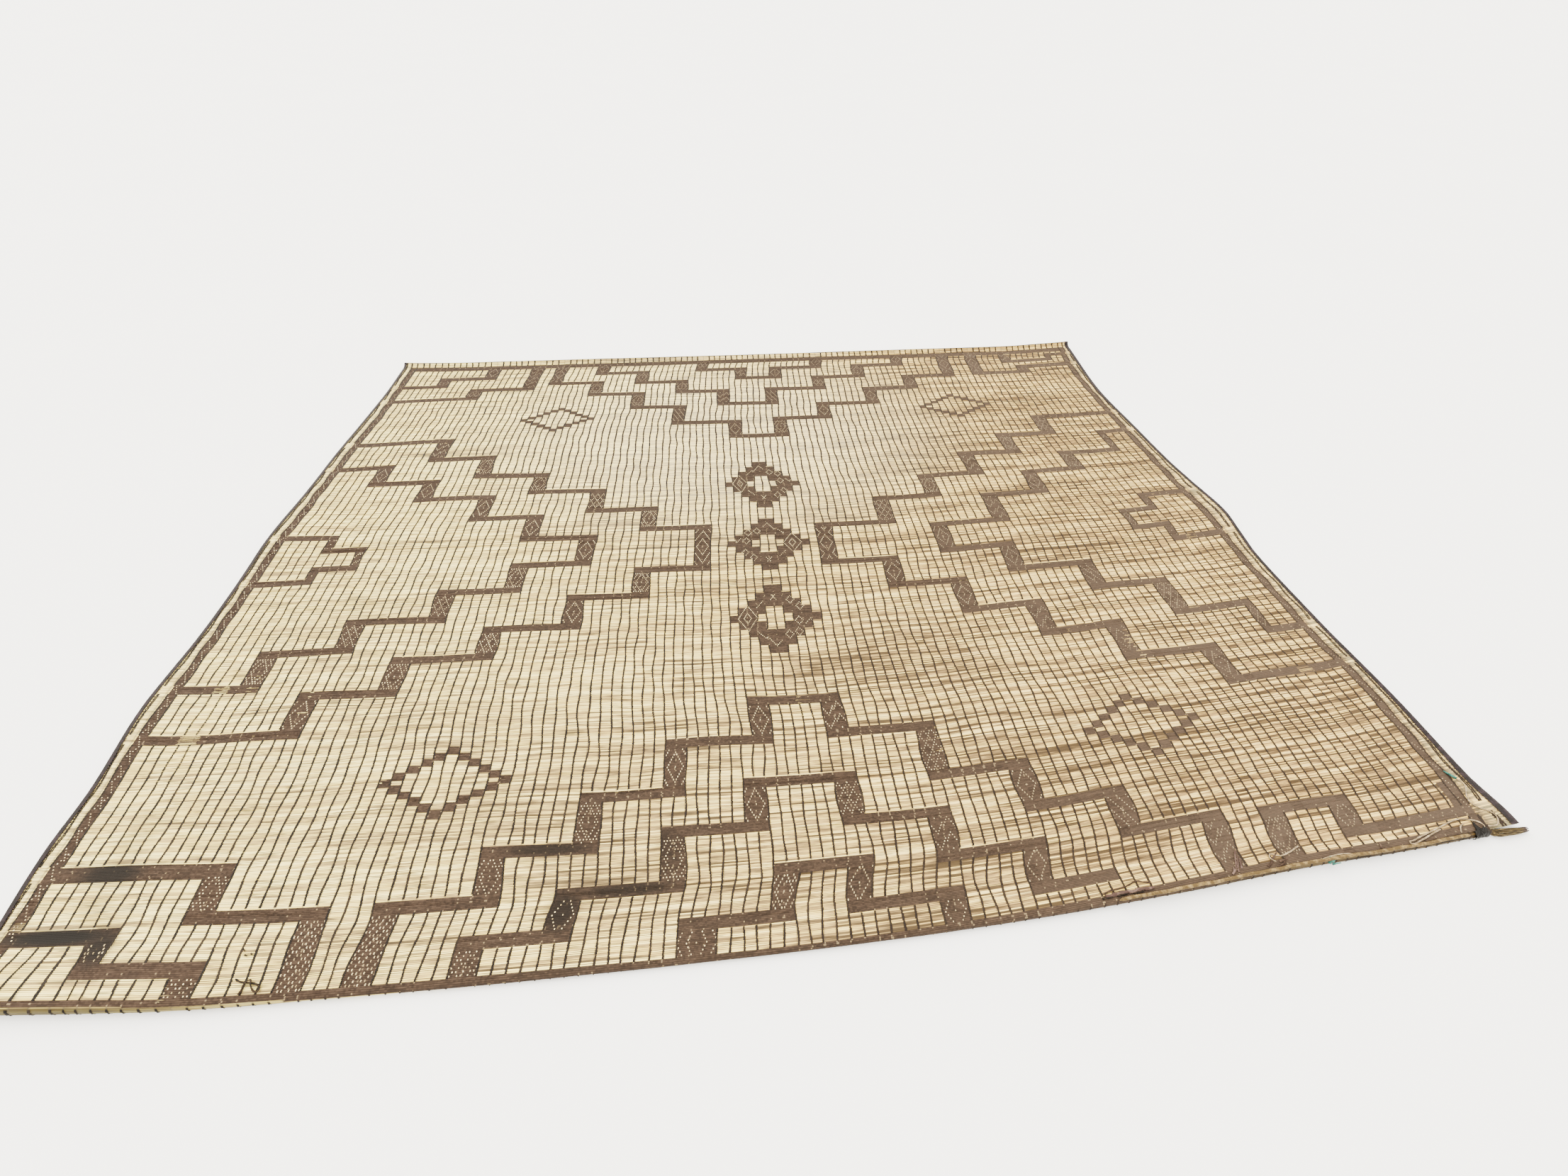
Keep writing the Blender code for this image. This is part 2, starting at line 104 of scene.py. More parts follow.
farEdge = np.array((  # x, where the field ends, degrees of curl
    (-1.96, 1.418, 36), (-1.00, 1.422, 32), (0.00, 1.421, 32), (0.80, 1.425, 38),
    (1.96, 1.424, 56),
))
waves = (  # x, y, reach in x, reach in y, height
    (1.95, 1.50, 0.50, 0.45, 0.017), (-1.95, 1.48, 0.35, 0.35, 0.007),
    (1.97, -0.10, 0.34, 0.26, 0.007), (-1.97, 0.16, 0.34, 0.40, 0.009),
    (-1.97, -0.72, 0.28, 0.30, 0.007), (1.97, -0.98, 0.28, 0.30, 0.006),
    (-0.95, 0.72, 0.55, 0.34, 0.005), (0.92, 0.48, 0.50, 0.34, 0.005),
    (0.75, -0.86, 0.55, 0.30, 0.006), (-0.85, -0.72, 0.50, 0.30, 0.005),
)

# weave: columns are the cells between two thongs, rows are single reeds
weave = {
    "columns": 111,
    "rows": 768,
    "pitch": 0.0037,       # one reed
    "sideBand": 0.027,     # width of the woven band along each side
    "sideBandColumns": 0.82,
    "marginColumns": 2.0,  # from the field to the mat's outer edge
    "reedTop": 0.0021,     # above the middle layer
    "reedDip": 0.0011,
    "farBandFrom": 764,    # row where the far leather band starts
    "straightRows": 120,   # rows over which the reeds straighten towards both edges
    "straightColumns": 6,  # and columns over which the thongs straighten towards both sides
}
leftBand = np.array((  # y, x of the left side band's middle
    (-1.34, -1.867), (-1.25, -1.880), (-1.13, -1.887), (-0.94, -1.891), (-0.82, -1.900),
    (-0.59, -1.904), (-0.35, -1.907), (-0.12, -1.912), (0.08, -1.913), (0.21, -1.903),
    (0.35, -1.904), (0.59, -1.900), (0.80, -1.892), (0.94, -1.882), (1.18, -1.879),
    (1.41, -1.874),
))
rightBand = np.array((  # y, x of the right side band's middle
    (-1.41, 1.845), (-1.375, 1.858), (-1.33, 1.877), (-1.27, 1.887), (-1.18, 1.888),
    (-1.13, 1.889), (-0.90, 1.886), (-0.78, 1.872), (-0.54, 1.867),
    (-0.35, 1.862), (-0.09, 1.870), (0.14, 1.859), (0.35, 1.849), (0.59, 1.839),
    (0.87, 1.833), (1.18, 1.834), (1.36, 1.846), (1.41, 1.861),
))
columnPlaces = np.array((  # column, share of the field's width
    (0, 0.0), (10, 0.0867), (20, 0.1763), (30, 0.2642), (40, 0.3529), (50, 0.4382),
    (60, 0.5247), (70, 0.6151), (80, 0.7071), (90, 0.8009), (100, 0.8951), (111, 1.0),
))
rowDrift = np.array((  # column, rows that a reed lies away from or towards the near edge there
    (-2, -0.5), (0, 0.0), (13, 3.5), (30, 1.5), (45, -1.5), (62, -6.0), (75, -8.0), (90, -9.0),
    (98, -8.8), (111, -5.0), (113, -4.5),
))
nearLeftDrift = (11.0, 38.0, 11.0, 38.0, 2.0)  # column, row, reach in columns and in rows, rows
# thongs pushed to the right near the turn: m, from y, over m, then first column, columns of
# rise, last column, columns of fall; or column, reach in columns
nearLeftPush = (0.021, -1.34, 0.11, 1, 5.0, 24.5, 5.5)
fifthPush = (0.017, -1.30, 0.07, 4.9, 1.4)
ripples = {  # small waves: height, turn for each unit of both coordinates, start
    "thongs": ((0.0026, 5.0, 0.9, 0.6), (0.0018, 13.2, -1.9, 0.0)),  # over y and x
    "columns": ((0.0014, 31.0, 1.3, 0.0),),                          # over y and column
    "reeds": ((0.5, 0.23, 0.019, 0.0), (0.4, 0.47, -0.031, 2.0)),    # over column and row
    "sheet": ((0.0011, 5.6, 2.2, 1.0), (0.0007, 14.1, -9.0, 0.0)),   # over x and share of the rows
    "cord": ((0.0007, 41, 0, 0.0), (0.0004, 97, 0, 0.0)),            # over x
    "scrap": ((0.0007, 6, 17, 0.0),),                                # over its own two directions
}
endRows = (sheet["bandWidth"] + sheet["stripWidth"]) / weave["pitch"]  # rows beyond the field
bandRows = sheet["bandWidth"] / weave["pitch"]
edgeColumn = weave["columns"] + weave["marginColumns"]


def readTable(table, place, column):
    # smooth curve through one column of a table, level beyond its ends
    at, values = table[:, 0], table[:, column]
    place = np.clip(np.asarray(place, float), at[0], at[-1])
    low = np.clip(np.searchsorted(at, place, side="right") - 1, 0, len(at) - 2)
    before, after = np.maximum(low - 1, 0), np.minimum(low + 2, len(at) - 1)
    span = at[low + 1] - at[low]
    t = (place - at[low]) / span
    slopeStart = (values[low + 1] - values[before]) / (at[low + 1] - at[before]) * span
    slopeEnd = (values[after] - values[low]) / (at[after] - at[low]) * span
    return ((2 * t**3 - 3 * t**2 + 1) * values[low] + (t**3 - 2 * t**2 + t) * slopeStart
            + (3 * t**2 - 2 * t**3) * values[low + 1] + (t**3 - t**2) * slopeEnd)


def smoothStep(value):
    value = np.clip(value, 0.0, 1.0)
    return value * value * (3 - 2 * value)


def ripple(name, a, b):
    return sum(height * np.sin(turnA * a + turnB * b + start)
               for height, turnA, turnB, start in ripples[name])


def hill(x, y, spot):
    # round hill: its place and reach both ways, and its height
    middleX, middleY, reachX, reachY, peak = spot
    away = np.minimum(np.hypot((x - middleX) / reachX, (y - middleY) / reachY), 1.0)
    return peak * (1 + np.cos(np.pi * away)) / 2


def foldLine(x):
    return readTable(nearEdge, x, 1) - readTable(nearEdge, x, 2)


def middleHeight(x, y):
    # height of the sheet's middle layer on its flat and rising part
    along = np.clip((y - foldLine(x)) / sheet["riseLength"], 0.0, 1.0)
    height = sheet["thickness"] / 2 + readTable(nearEdge, x, 3) * (1 + np.cos(np.pi * along))
    for wave in waves:
        height = height + hill(x, y, wave)
    fromEdge = np.minimum(x - readTable(sideEdges, y, 1), readTable(sideEdges, y, 2) - x)
    reach = sheet["raiseFrom"] - sheet["raiseTo"]
    return height + sheet["sideRaise"] * smoothStep((sheet["raiseFrom"] - fromEdge) / reach)


def acrossPlace(u, y):
    # x of a column number at that y
    columns, half, band = weave["columns"], weave["sideBand"] / 2, weave["sideBandColumns"]
    left, right = readTable(leftBand, y, 1), readTable(rightBand, y, 1)
    fieldLeft, fieldRight = left + half, right - half
    share = np.interp(u, columnPlaces[:, 0], columnPlaces[:, 1])
    x = fieldLeft + (fieldRight - fieldLeft) * share
    inner = np.clip(np.minimum(u, columns - u) / weave["straightColumns"], 0.0, 1.0)
    x = x + inner * (ripple("thongs", y, x) + ripple("columns", y, u))
    push, fromY, overY, first, rise, last, fall = nearLeftPush
    x = x + push * (smoothStep((fromY - y) / overY) * smoothStep((u - first) / rise)
                    * smoothStep((last - u) / fall))
    push, fromY, overY, column, reach = fifthPush
    x = x + push * smoothStep((fromY - y) / overY) * np.exp(-((u - column) / reach) ** 2)
    beyond = np.maximum(-u, u - columns)  # columns outside the field
    onBand = beyond / band * weave["sideBand"]
    outward = (beyond - band) / (weave["marginColumns"] - band)
    leftOut = left - half + (readTable(sideEdges, y, 1) - left + half) * outward
    rightOut = right + half + (readTable(sideEdges, y, 2) - right - half) * outward
    x = np.where(u < 0, fieldLeft - onBand, x)
    x = np.where(u > columns, fieldRight + onBand, x)
    x = np.where(u < -band, leftOut, x)
    return np.where(u > columns + band, rightOut, x)


def rowShift(u, v):
    # the reeds wander: rows away from a straight line between the side edges
    reach = weave["straightRows"]
    along = smoothStep(v / reach) * smoothStep((weave["rows"] - v) / reach)
    return along * (readTable(rowDrift, u, 1) + ripple("reeds", u, v)) + hill(u, v, nearLeftDrift)


def reedRow(u, measured):
    # number of the reed that lies at a measured row of that column
    reed = measured
    for _ in range(3):
        reed = measured - float(rowShift(np.array(float(u)), np.array(float(reed))))
    return int(round(min(max(reed, 0), weave["rows"])))


def matPlace(u, v):
    # point on the middle layer at a column and a row; rows below 0 go round the near turn,
    # and rows past the field go up the far curl
    rows, pitch = weave["rows"], weave["pitch"]
    share = np.clip((v + rowShift(u, v)) / rows, 0.0, 1.0)
    x = acrossPlace(u, sheet["nearRowY"] + (sheet["farRowY"] - sheet["nearRowY"]) * share)
    near, far = readTable(nearEdge, x, 1), readTable(farEdge, x, 1)
    inner = np.clip(np.minimum(share, 1 - share) / 0.05, 0.0, 1.0)
    past, beyond = np.maximum(-v, 0.0) * pitch, np.maximum(v - rows, 0.0) * pitch
    onTop, curlFrom = readTable(nearEdge, x, 2), sheet["bandWidth"] / 2
    y = near + (far - near) * share + inner * ripple("sheet", x, share) - np.minimum(past, onTop)
    y = y + np.minimum(beyond, curlFrom)
    x = acrossPlace(u, y)
    radius = readTable(nearEdge, x, 3)
    bent = np.maximum(past - onTop, 0.0)
    angle = np.minimum(bent / radius, np.pi)
    curl = np.radians(readTable(farEdge, x, 2)) / (curlFrom + sheet["stripWidth"])
    up = curl * np.maximum(beyond - curlFrom, 0.0)
    z = middleHeight(x, y) - radius * (1 - np.cos(angle)) + (1 - np.cos(up)) / curl
    y = y - radius * np.sin(angle) + np.maximum(bent - np.pi * radius, 0.0) + np.sin(up) / curl
    return np.stack((x, y, z), axis=-1)


def onMat(u, v, lift):
    # point at that height over the middle layer, flatter where the tucked strip lies on the floor
    u, v, lift = np.broadcast_arrays(*(np.asarray(a, float) for a in (u, v, lift)))
    across = matPlace(u + 0.02, v) - matPlace(u - 0.02, v)
    along = matPlace(u, v + 0.12) - matPlace(u, v - 0.12)
    normal = np.cross(across, along)
    normal /= np.linalg.norm(normal, axis=-1, keepdims=True)
    x = acrossPlace(u, np.full(np.shape(v), sheet["nearRowY"]))
    bent = np.maximum(-v * weave["pitch"] - readTable(nearEdge, x, 2), 0.0)
    turned = bent / readTable(nearEdge, x, 3)  # radians round the near turn
    under = smoothStep((turned - sheet["pressedFrom"]) / sheet["pressedOver"])
    lift = np.where(lift > 0, lift * (1 - sheet["pressed"] * under), lift)
    return matPlace(u, v) + normal * lift[..., None]


turnEndX = float(readTable(sideEdges, sheet["nearRowY"], 2)) - sheet["foldStopsShort"]
columnNumbers = np.linspace(-weave["marginColumns"], edgeColumn, 2000)
notchColumn = float(np.interp(
    turnEndX, acrossPlace(columnNumbers, np.full(2000, sheet["nearRowY"])), columnNumbers))
notchRow = -float(readTable(nearEdge, turnEndX, 2)) / weave["pitch"]


def newPot():
    return {"points": [], "faces": [], "weave": [], "bake": [], "dips": [], "count": 0}


def pour(pot, points, faces, weaveMap, bakeMap, dips=None):
    # adds points, faces that count from the first of them, and one map entry for each corner
    points = np.asarray(points, float).reshape(-1, 3)
    start = pot["count"]
    pot["points"].append(points)
    pot["faces"].extend([start + k for k in face] for face in faces)
    pot["weave"].append(np.asarray(weaveMap, float).reshape(-1, 2))
    pot["bake"].append(np.asarray(bakeMap, float).reshape(-1, 2))
    pot["dips"].append(np.zeros(len(points), bool) if dips is None else dips)
    pot["count"] += len(points)


def selectOnly(piece):
    bpy.ops.object.select_all(action="DESELECT")
    piece.select_set(True)
    bpy.context.view_layer.objects.active = piece


def declare(piece, stands=None):
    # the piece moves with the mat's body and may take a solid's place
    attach(piece, "root")
    if stands:
        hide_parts(stands)
    return piece


def finishPiece(name, pot, material, stands=None, smoothAngle=60, woven=False):
    # mesh object at the origin; edges that join two dips between reeds stay sharp, and a piece
    # that isn't woven has its faces turned outwards by Blender
    mesh = bpy.data.meshes.new(name)
    mesh.from_pydata(np.concatenate(pot["points"]).tolist(), [], pot["faces"])
    for mapName, key in (("weave", "weave"), ("OFBake", "bake")) if woven else (("run", "weave"),):
        layer = mesh.uv_layers.new(name=mapName)
        layer.data.foreach_set("uv", np.concatenate(pot[key]).astype(np.float32).ravel())
    mesh.shade_smooth()
    mesh.set_sharp_from_angle(angle=math.radians(smoothAngle))
    dips = np.concatenate(pot["dips"])
    if dips.any():
        ends = np.zeros(len(mesh.edges) * 2, np.int32)
        mesh.edges.foreach_get("vertices", ends)
        ends = ends.reshape(-1, 2)
        sharp = np.zeros(len(mesh.edges), bool)
        attribute = (mesh.attributes.get("sharp_edge")
                     or mesh.attributes.new("sharp_edge", "BOOLEAN", "EDGE"))
        attribute.data.foreach_get("value", sharp)
        attribute.data.foreach_set("value", sharp | (dips[ends[:, 0]] & dips[ends[:, 1]]))
    mesh.materials.append(material)
    piece = bpy.data.objects.new(name, mesh)
    bpy.context.scene.collection.objects.link(piece)
    if not woven:
        selectOnly(piece)
        bpy.ops.object.mode_set(mode="EDIT")
        bpy.ops.mesh.select_all(action="SELECT")
        bpy.ops.mesh.normals_make_consistent(inside=False)
        bpy.ops.object.mode_set(mode="OBJECT")
    mesh.update()
    return declare(piece, stands)


wallMark = -1000  # bake rows at and below this belong to walls, and 10 lower to the underside


def addShell(pot, us, vs, lifts, underLift, underStep):
    # closed shell on the mat: shaped top, walls all round and an underside of every few rows
    columns, rows = len(us), len(vs)
    u, v = np.meshgrid(us, vs)
    top = onMat(u, v, lifts).reshape(-1, 3)
    lower = sorted(set(range(0, rows - 1, underStep)) | {rows - 1})
    bottom = onMat(u[lower], v[lower], underLift).reshape(-1, 3)
    first = rows * columns
    faces = []

    def at(k, j):
        return k * columns + j

    def under(k, j):
        return first + k * columns + j

    for k in range(rows - 1):
        for j in range(columns - 1):
            faces.append((at(k, j), at(k, j + 1), at(k + 1, j + 1), at(k + 1, j)))
    last = len(lower) - 1
    for j in range(columns - 1):
        faces.append((under(0, j), under(0, j + 1), at(0, j + 1), at(0, j)))
        faces.append((under(last, j + 1), under(last, j), at(rows - 1, j), at(rows - 1, j + 1)))
        for k in range(last):
            faces.append((under(k, j), under(k + 1, j), under(k + 1, j + 1), under(k, j + 1)))
    for k in range(last):
        between = range(lower[k], lower[k + 1] + 1)
        faces.append((under(k + 1, 0), under(k, 0), *(at(i, 0) for i in between)))
        faces.append((under(k, columns - 1), under(k + 1, columns - 1),
                      *(at(i, columns - 1) for i in reversed(between))))
    index = np.concatenate(faces)
    rowOf = np.concatenate((np.arange(rows), lower))
    places = np.column_stack((us[index % columns], vs[rowOf[index // columns]]))
    bake = places.copy()
    hidden = 4 * (rows - 1) * (columns - 1)
    bake[hidden:, 1] = wallMark - 10 * (index[hidden:] >= first)
    dips = np.zeros(first + len(bottom), bool)
    dips[:first] = np.repeat(np.abs(vs - np.round(vs)) < 0.01, columns)
    pour(pot, np.concatenate((top, bottom)), faces, places, bake, dips)


def spreadBake(pot):
    # bake map of a woven piece: columns along it, rows up it, hidden faces in a strip at the top
    for block in pot["bake"]:
        block[:, 0] = 0.004 + 0.992 * (block[:, 0] + 2) / (weave["columns"] + 4)
    shown = np.concatenate([b[b[:, 1] > wallMark / 2, 1] for b in pot["bake"]])
    low, high = shown.min(), shown.max()
    for block in pot["bake"]:
        wall = 0.975 + (wallMark - block[:, 1]) / 10 * 0.02
        share = 0.004 + 0.955 * (block[:, 1] - low) / (high - low)
        block[:, 1] = np.where(block[:, 1] < wallMark / 2, wall, share)
    return pot


def hexColour(text):
    parts = [int(text[k:k + 2], 16) / 255 for k in (1, 3, 5)]
    return (*(c / 12.92 if c <= 0.04045 else ((c + 0.055) / 1.055) ** 2.4 for c in parts), 1.0)


def addNode(tree, kind, *values, output=0, **settings):
    # kind: the node's name and, where it has one, its operation; values: its inputs in order, or
    # in a dictionary, where a text is a hex colour. Map ranges take value, from and to
    name, *operation = kind.split()
    node = tree.nodes.new("ShaderNode" + name)
    if operation:
        node.operation = operation[0]
    for setting, value in settings.items():
        setattr(node, setting, value)
    named = values and isinstance(values[0], dict)
    for place, value in (values[0] if named else dict(enumerate(values))).items():
        if isinstance(value, bpy.types.NodeSocket):
            tree.links.new(value, node.inputs[place])
        else:
            node.inputs[place].default_value = hexColour(value) if isinstance(value, str) else value
    return node.outputs[output]


def startMaterial(name, roughness, specular=0.1):
    material = bpy.data.materials.new(name)
    material.use_nodes = True
    shader = material.node_tree.nodes["Principled BSDF"]
    shader.inputs["Roughness"].default_value = roughness
    shader.inputs["Specular IOR Level"].default_value = specular
    return material, material.node_tree


def finishMaterial(material, colour, height=None, strength=0.0, distance=0.0, rough=None):
    # colour, a bump of so many metres and a roughness that varies
    tree = material.node_tree
    inputs = tree.nodes["Principled BSDF"].inputs
    tree.links.new(colour, inputs["Base Color"])
    if height:
        facts = {"Strength": strength, "Distance": distance, "Height": height}
        tree.links.new(addNode(tree, "Bump", facts), inputs["Normal"])
    if rough:
        tree.links.new(rough, inputs["Roughness"])
    return material


def setRamp(socket, stops):
    # the two stops that a new ramp has become the first two
    elements = socket.node.color_ramp.elements
    while len(elements) < len(stops):
        elements.new(0.5)
    for element, (place, colour) in zip(elements, stops):
        element.position = place
        element.color = hexColour(colour)
    return socket


mixing = {"data_type": "RGBA", "output": 2}  # a mix node for colours: 0 share, 6 and 7 colours
eased = {"interpolation_type": "SMOOTHSTEP"}
flatNoise = {"noise_dimensions": "2D"}


def readWeave(tree):
    # the weave map, its column and row, whole cell and reed, and how far from their middles
    weaveMap = addNode(tree, "UVMap", uv_map="weave")
    column, row, _ = addNode(tree, "SeparateXYZ", weaveMap).node.outputs
    cell, reed = (addNode(tree, "Math FLOOR", place) for place in (column, row))
    away = []
    for place in (column, row):
        inside = addNode(tree, "Math SUBTRACT", addNode(tree, "Math FRACT", place), 0.5)
        away.append(addNode(tree, "Math ABSOLUTE", inside))
    return weaveMap, column, row, cell, reed, *away


straw = {
    "tones": ((0.20, "#453a2a"), (0.33, "#7b6a4c"), (0.44, "#b19b68"), (0.54, "#cfba6e"),
              (0.70, "#efe09a")),
    # painted shade of deep gaps, laid on whole reeds as thin dark lines
    "line": "#3a3226",
    "left": "#ffffee",
    "right": "#efe0ca",
    "level": 0.565,
    "darkening": 0.138,   # how far the tone drops from the left to the right side
    "nearRight": 0.038,   # and how much more near the right corner
    "evenLeft": 1.05,     # how much the tones vary at the left
    "evenRight": 1.95,    # and at the right
    "lineShadeLeft": 0.55,     # how dark the thin lines of painted gap shade are at the left
    "lineShadeRight": 0.45,
    # painted shade in the gaps between reeds and along the far rim
    "gap": "#3d3226",
    # painted shade beside the thongs where they cross the reeds
    "paintedThongShade": "#453d32",
    # painted sheen on the middle of the far field
    "paintedSheen": "#f6ebc0",
    "paintedSheenShare": 0.34,
    "margin": "#e8dca6",  # the paler reed ends outside the side bands
    "marginShare": 0.22,
    "stain": "#2a241c",
    "stainShare": 0.55,   # reeds take less of a stain than leather
    "face": "#454229",    # painted shade on the turned-down face at the near left, over its own greener tone
    # painted shade on the turned-down face at the near right
    "rightFaceShade": "#403826",
    "faceShadeShare": 0.95,
    "rimShadeShare": 0.85,     # painted shade along the far edge's rim
}
# soft spots: column, row, reach in columns, reach in rows, strength
# spot of painted sheen on the middle of the far field
paintedSheenSpots = ((50.0, 590.0, 42.0, 270.0, 1.0),)
stains = (
    (3.9, 70.0, 3.4, 14.0, 0.90), (4.1, 94.0, 1.9, 28.0, 0.50), (4.4, 48.0, 2.0, 11.0, 0.55),
    (2.8, 33.0, 6.4, 8.5, 1.00), (6.2, 26.0, 2.0, 15.0, 0.85), (4.8, 42.0, 3.4, 9.0, 0.40),
    (37.8, 32.0, 1.9, 18.0, 0.80), (42.5, 42.5, 5.5, 6.5, 0.70), (36.0, 71.5, 5.0, 6.0, 0.75),
    (45.5, 66.0, 1.6, 24.0, 0.45),
)


def addSpots(tree, column, row, spots):
    # strongest of the soft spots at that place
    place, total = addNode(tree, "CombineXYZ", column, row), None
    for spotColumn, spotRow, reachColumn, reachRow, strength in spots:
        away = addNode(tree, "VectorMath SUBTRACT", place, (spotColumn, spotRow, 0.0))
        away = addNode(tree, "VectorMath DIVIDE", away, (reachColumn, reachRow, 1.0))
        away = addNode(tree, "VectorMath LENGTH", away, output="Value")
        spot = addNode(tree, "MapRange", away, 1.0, 0.25, 0.0, strength, **eased)
        total = addNode(tree, "Math MAXIMUM", total, spot) if total else spot
    return total


def makeStraw():
    # split reed, dried in the sun and laid side by side: satin skin, each reed its own tone,
    # streaked along its length, with painted shade in the gaps, beside the thongs and on the near
    # turn's faces, and a painted sheen on the far middle
    material, tree = startMaterial("splitReedStraw", 0.58)
    weaveMap, column, row, cell, reed, fromThong, fromTop = readWeave(tree)
    wholeReed = addNode(tree, "CombineXYZ", column, reed)
    wholeGap = addNode(tree, "CombineXYZ", column, addNode(tree, "Math ROUND", row))
    wholeCell = addNode(tree, "CombineXYZ", cell, reed)
    # noises in columns and rows: long streaks of a reed, short streaks, bunches from the same
    # lot, broad patches, and how open the gap beside a reed is, which widens its painted shade
    noises = {}
    for name, source, pattern, detail in (
        ("long", wholeReed, (0.035, 3.17, 1.0), 2.0),
        ("short", wholeReed, (0.26, 5.31, 1.0), 2.0),
        ("bunch", weaveMap, (0.040, 0.30, 1.0), 3.0),
        ("patch", weaveMap, (0.035, 0.016, 1.0), 2.0),
        ("gap", wholeGap, (0.22, 7.7, 1.0), 2.0),
        ("line", wholeReed, (0.31, 9.37, 1.0), 1.0),
    ):
        place = addNode(tree, "VectorMath MULTIPLY", source, pattern)
        noises[name] = addNode(tree, "TexNoise", {"Vector": place, "Scale": 1.0, "Detail": detail,
                                                  "Roughness": 0.58})
    cellTone = addNode(tree, "TexWhiteNoise", wholeCell, **flatNoise)
    side = addNode(tree, "MapRange", column, 18.0, 96.0)
    # tone: each noise less its mean, by its weight; the right side is darker and more uneven
    level = addNode(tree, "Math MULTIPLY_ADD", side, -straw["darkening"], straw["level"])
    nearness = addNode(tree, "MapRange", row, 300.0, 60.0)
    nearRight = addNode(tree, "Math MULTIPLY", nearness, side)
    level = addNode(tree, "Math MULTIPLY_ADD", nearRight, -straw["nearRight"], level)
    uneven = addNode(tree, "MapRange", side, 0.0, 1.0, straw["evenLeft"], straw["evenRight"])
    tone = 0.0
    for noise, weight in ((noises["long"], 0.95), (noises["short"], 0.50), (noises["bunch"], 0.66),
                          (noises["patch"], 0.30), (cellTone, 0.16)):
        share = addNode(tree, "Math SUBTRACT", noise, 0.5)
        tone = addNode(tree, "Math MULTIPLY_ADD", share, weight, tone)
    tone = addNode(tree, "Math MULTIPLY_ADD", tone, uneven, level)
    # paler and greener to the left, pinker tan to the right
    tint = addNode(tree, "Mix", {0: side, 6: straw["left"], 7: straw["right"]}, **mixing)
    ramp = setRamp(addNode(tree, "ValToRGB", tone), straw["tones"])
    colour = addNode(tree, "Mix", {0: 1.0, 6: ramp, 7: tint}, blend_type="MULTIPLY", **mixing)
    # painted sheen, and real stains that the reeds take less of than leather
    paintedSheen, stain = (addNode(tree, "Math MULTIPLY", addSpots(tree, column, row, spots), share)
                       for spots, share in ((paintedSheenSpots, straw["paintedSheenShare"]),
                                            (stains, straw["stainShare"])))
    # painted shade on the faces of the near turn, over a greener tone at the left, and the margins
    # outside the side bands
    onFace = addNode(tree, "MapRange", row, -2.0, -4.0, 0.0, straw["faceShadeShare"])
    toLeft = addNode(tree, "MapRange", column, 34.0, 8.0)
    toRight = addNode(tree, "MapRange", column, 56.0, 72.0)
    face, rightFaceShade = (addNode(tree, "Math MULTIPLY", onFace, fade) for fade in (toLeft, toRight))
    fromMiddle = addNode(tree, "Math SUBTRACT", column, weave["columns"] / 2)
    fromMiddle = addNode(tree, "Math ABSOLUTE", fromMiddle)
    margin = addNode(tree, "MapRange", fromMiddle, 56.3, 56.8, 0.0, straw["marginShare"])
    # painted shade of deep gaps between reeds, laid as thin dark reeds for a few columns here and
    # there
    strength = addNode(tree, "MapRange", side, 0.0, 1.0, straw["lineShadeLeft"], straw["lineShadeRight"])
    line = addNode(tree, "Math MULTIPLY_ADD", cellTone, 0.05, noises["line"])
    line = addNode(tree, "MapRange", line, 0.45, 0.37, 0.0, strength)
    # painted shade in the gap between neighbouring reeds, wide where they part
    gapTone = addNode(tree, "Math MULTIPLY_ADD", cellTone, 0.14, noises["gap"])
    gapOpen = addNode(tree, "MapRange", gapTone, 0.47, 0.66, 0.30, 1.0)
    gapStart = addNode(tree, "Math MULTIPLY_ADD", gapOpen, -0.27, 0.38)
    gap = addNode(tree, "MapRange", fromTop, gapStart, 0.5, **eased)
    gap = addNode(tree, "Math MULTIPLY", gap, gapOpen)
    # painted shade along the rim of the far edge
    farRow = weave["rows"] + endRows
    farRimShade = addNode(tree, "MapRange", row, farRow - 1.3, farRow - 0.3, 0.0, straw["rimShadeShare"])
    # painted shade on the reeds beside each thong
    pinch = addNode(tree, "MapRange", fromThong, 0.38, 0.49, 0.0, 0.50, **eased)
    for share, shade, blend in (
        (paintedSheen, "paintedSheen", "MIX"), (face, "face", "MULTIPLY"),
        (rightFaceShade, "rightFaceShade", "MULTIPLY"), (margin, "margin", "MIX"), (line, "line", "MIX"),
        (gap, "gap", "MIX"), (farRimShade, "gap", "MIX"), (pinch, "paintedThongShade", "MIX"),
        (stain, "stain", "MIX"),
    ):
        colour = addNode(tree, "Mix", {0: share, 6: colour, 7: straw[shade]}, blend_type=blend,
                         **mixing)
    # the reeds bow up between the thongs, and their skin is finely ribbed
    bow = addNode(tree, "Math POWER", addNode(tree, "Math MULTIPLY", fromThong, 2.0), 3.0)
    ribAt = addNode(tree, "VectorMath MULTIPLY", weaveMap, (0.9, 7.0, 1.0))
    rib = addNode(tree, "TexNoise", {"Vector": ribAt, "Scale": 1.0, "Detail": 2.0})
    height = addNode(tree, "Math SUBTRACT", addNode(tree, "Math MULTIPLY", rib, 0.25), bow)
    rough = addNode(tree, "MapRange", tone, 0.3, 0.7, 0.70, 0.48)
    return finishMaterial(material, colour, height, 0.6, 0.0010, rough)


wovenLeather = {
    "left": "#291d15",
    "middle": "#2b211a",
    "right": "#3e332a",
    "worn": "#4a3b30",
    "dark": "#1c140f",
    # painted shade in the gaps between the strips
    "gap": "#120c08",
    "tick": "#8f7d5e",
    "stain": "#0d0a08",
}


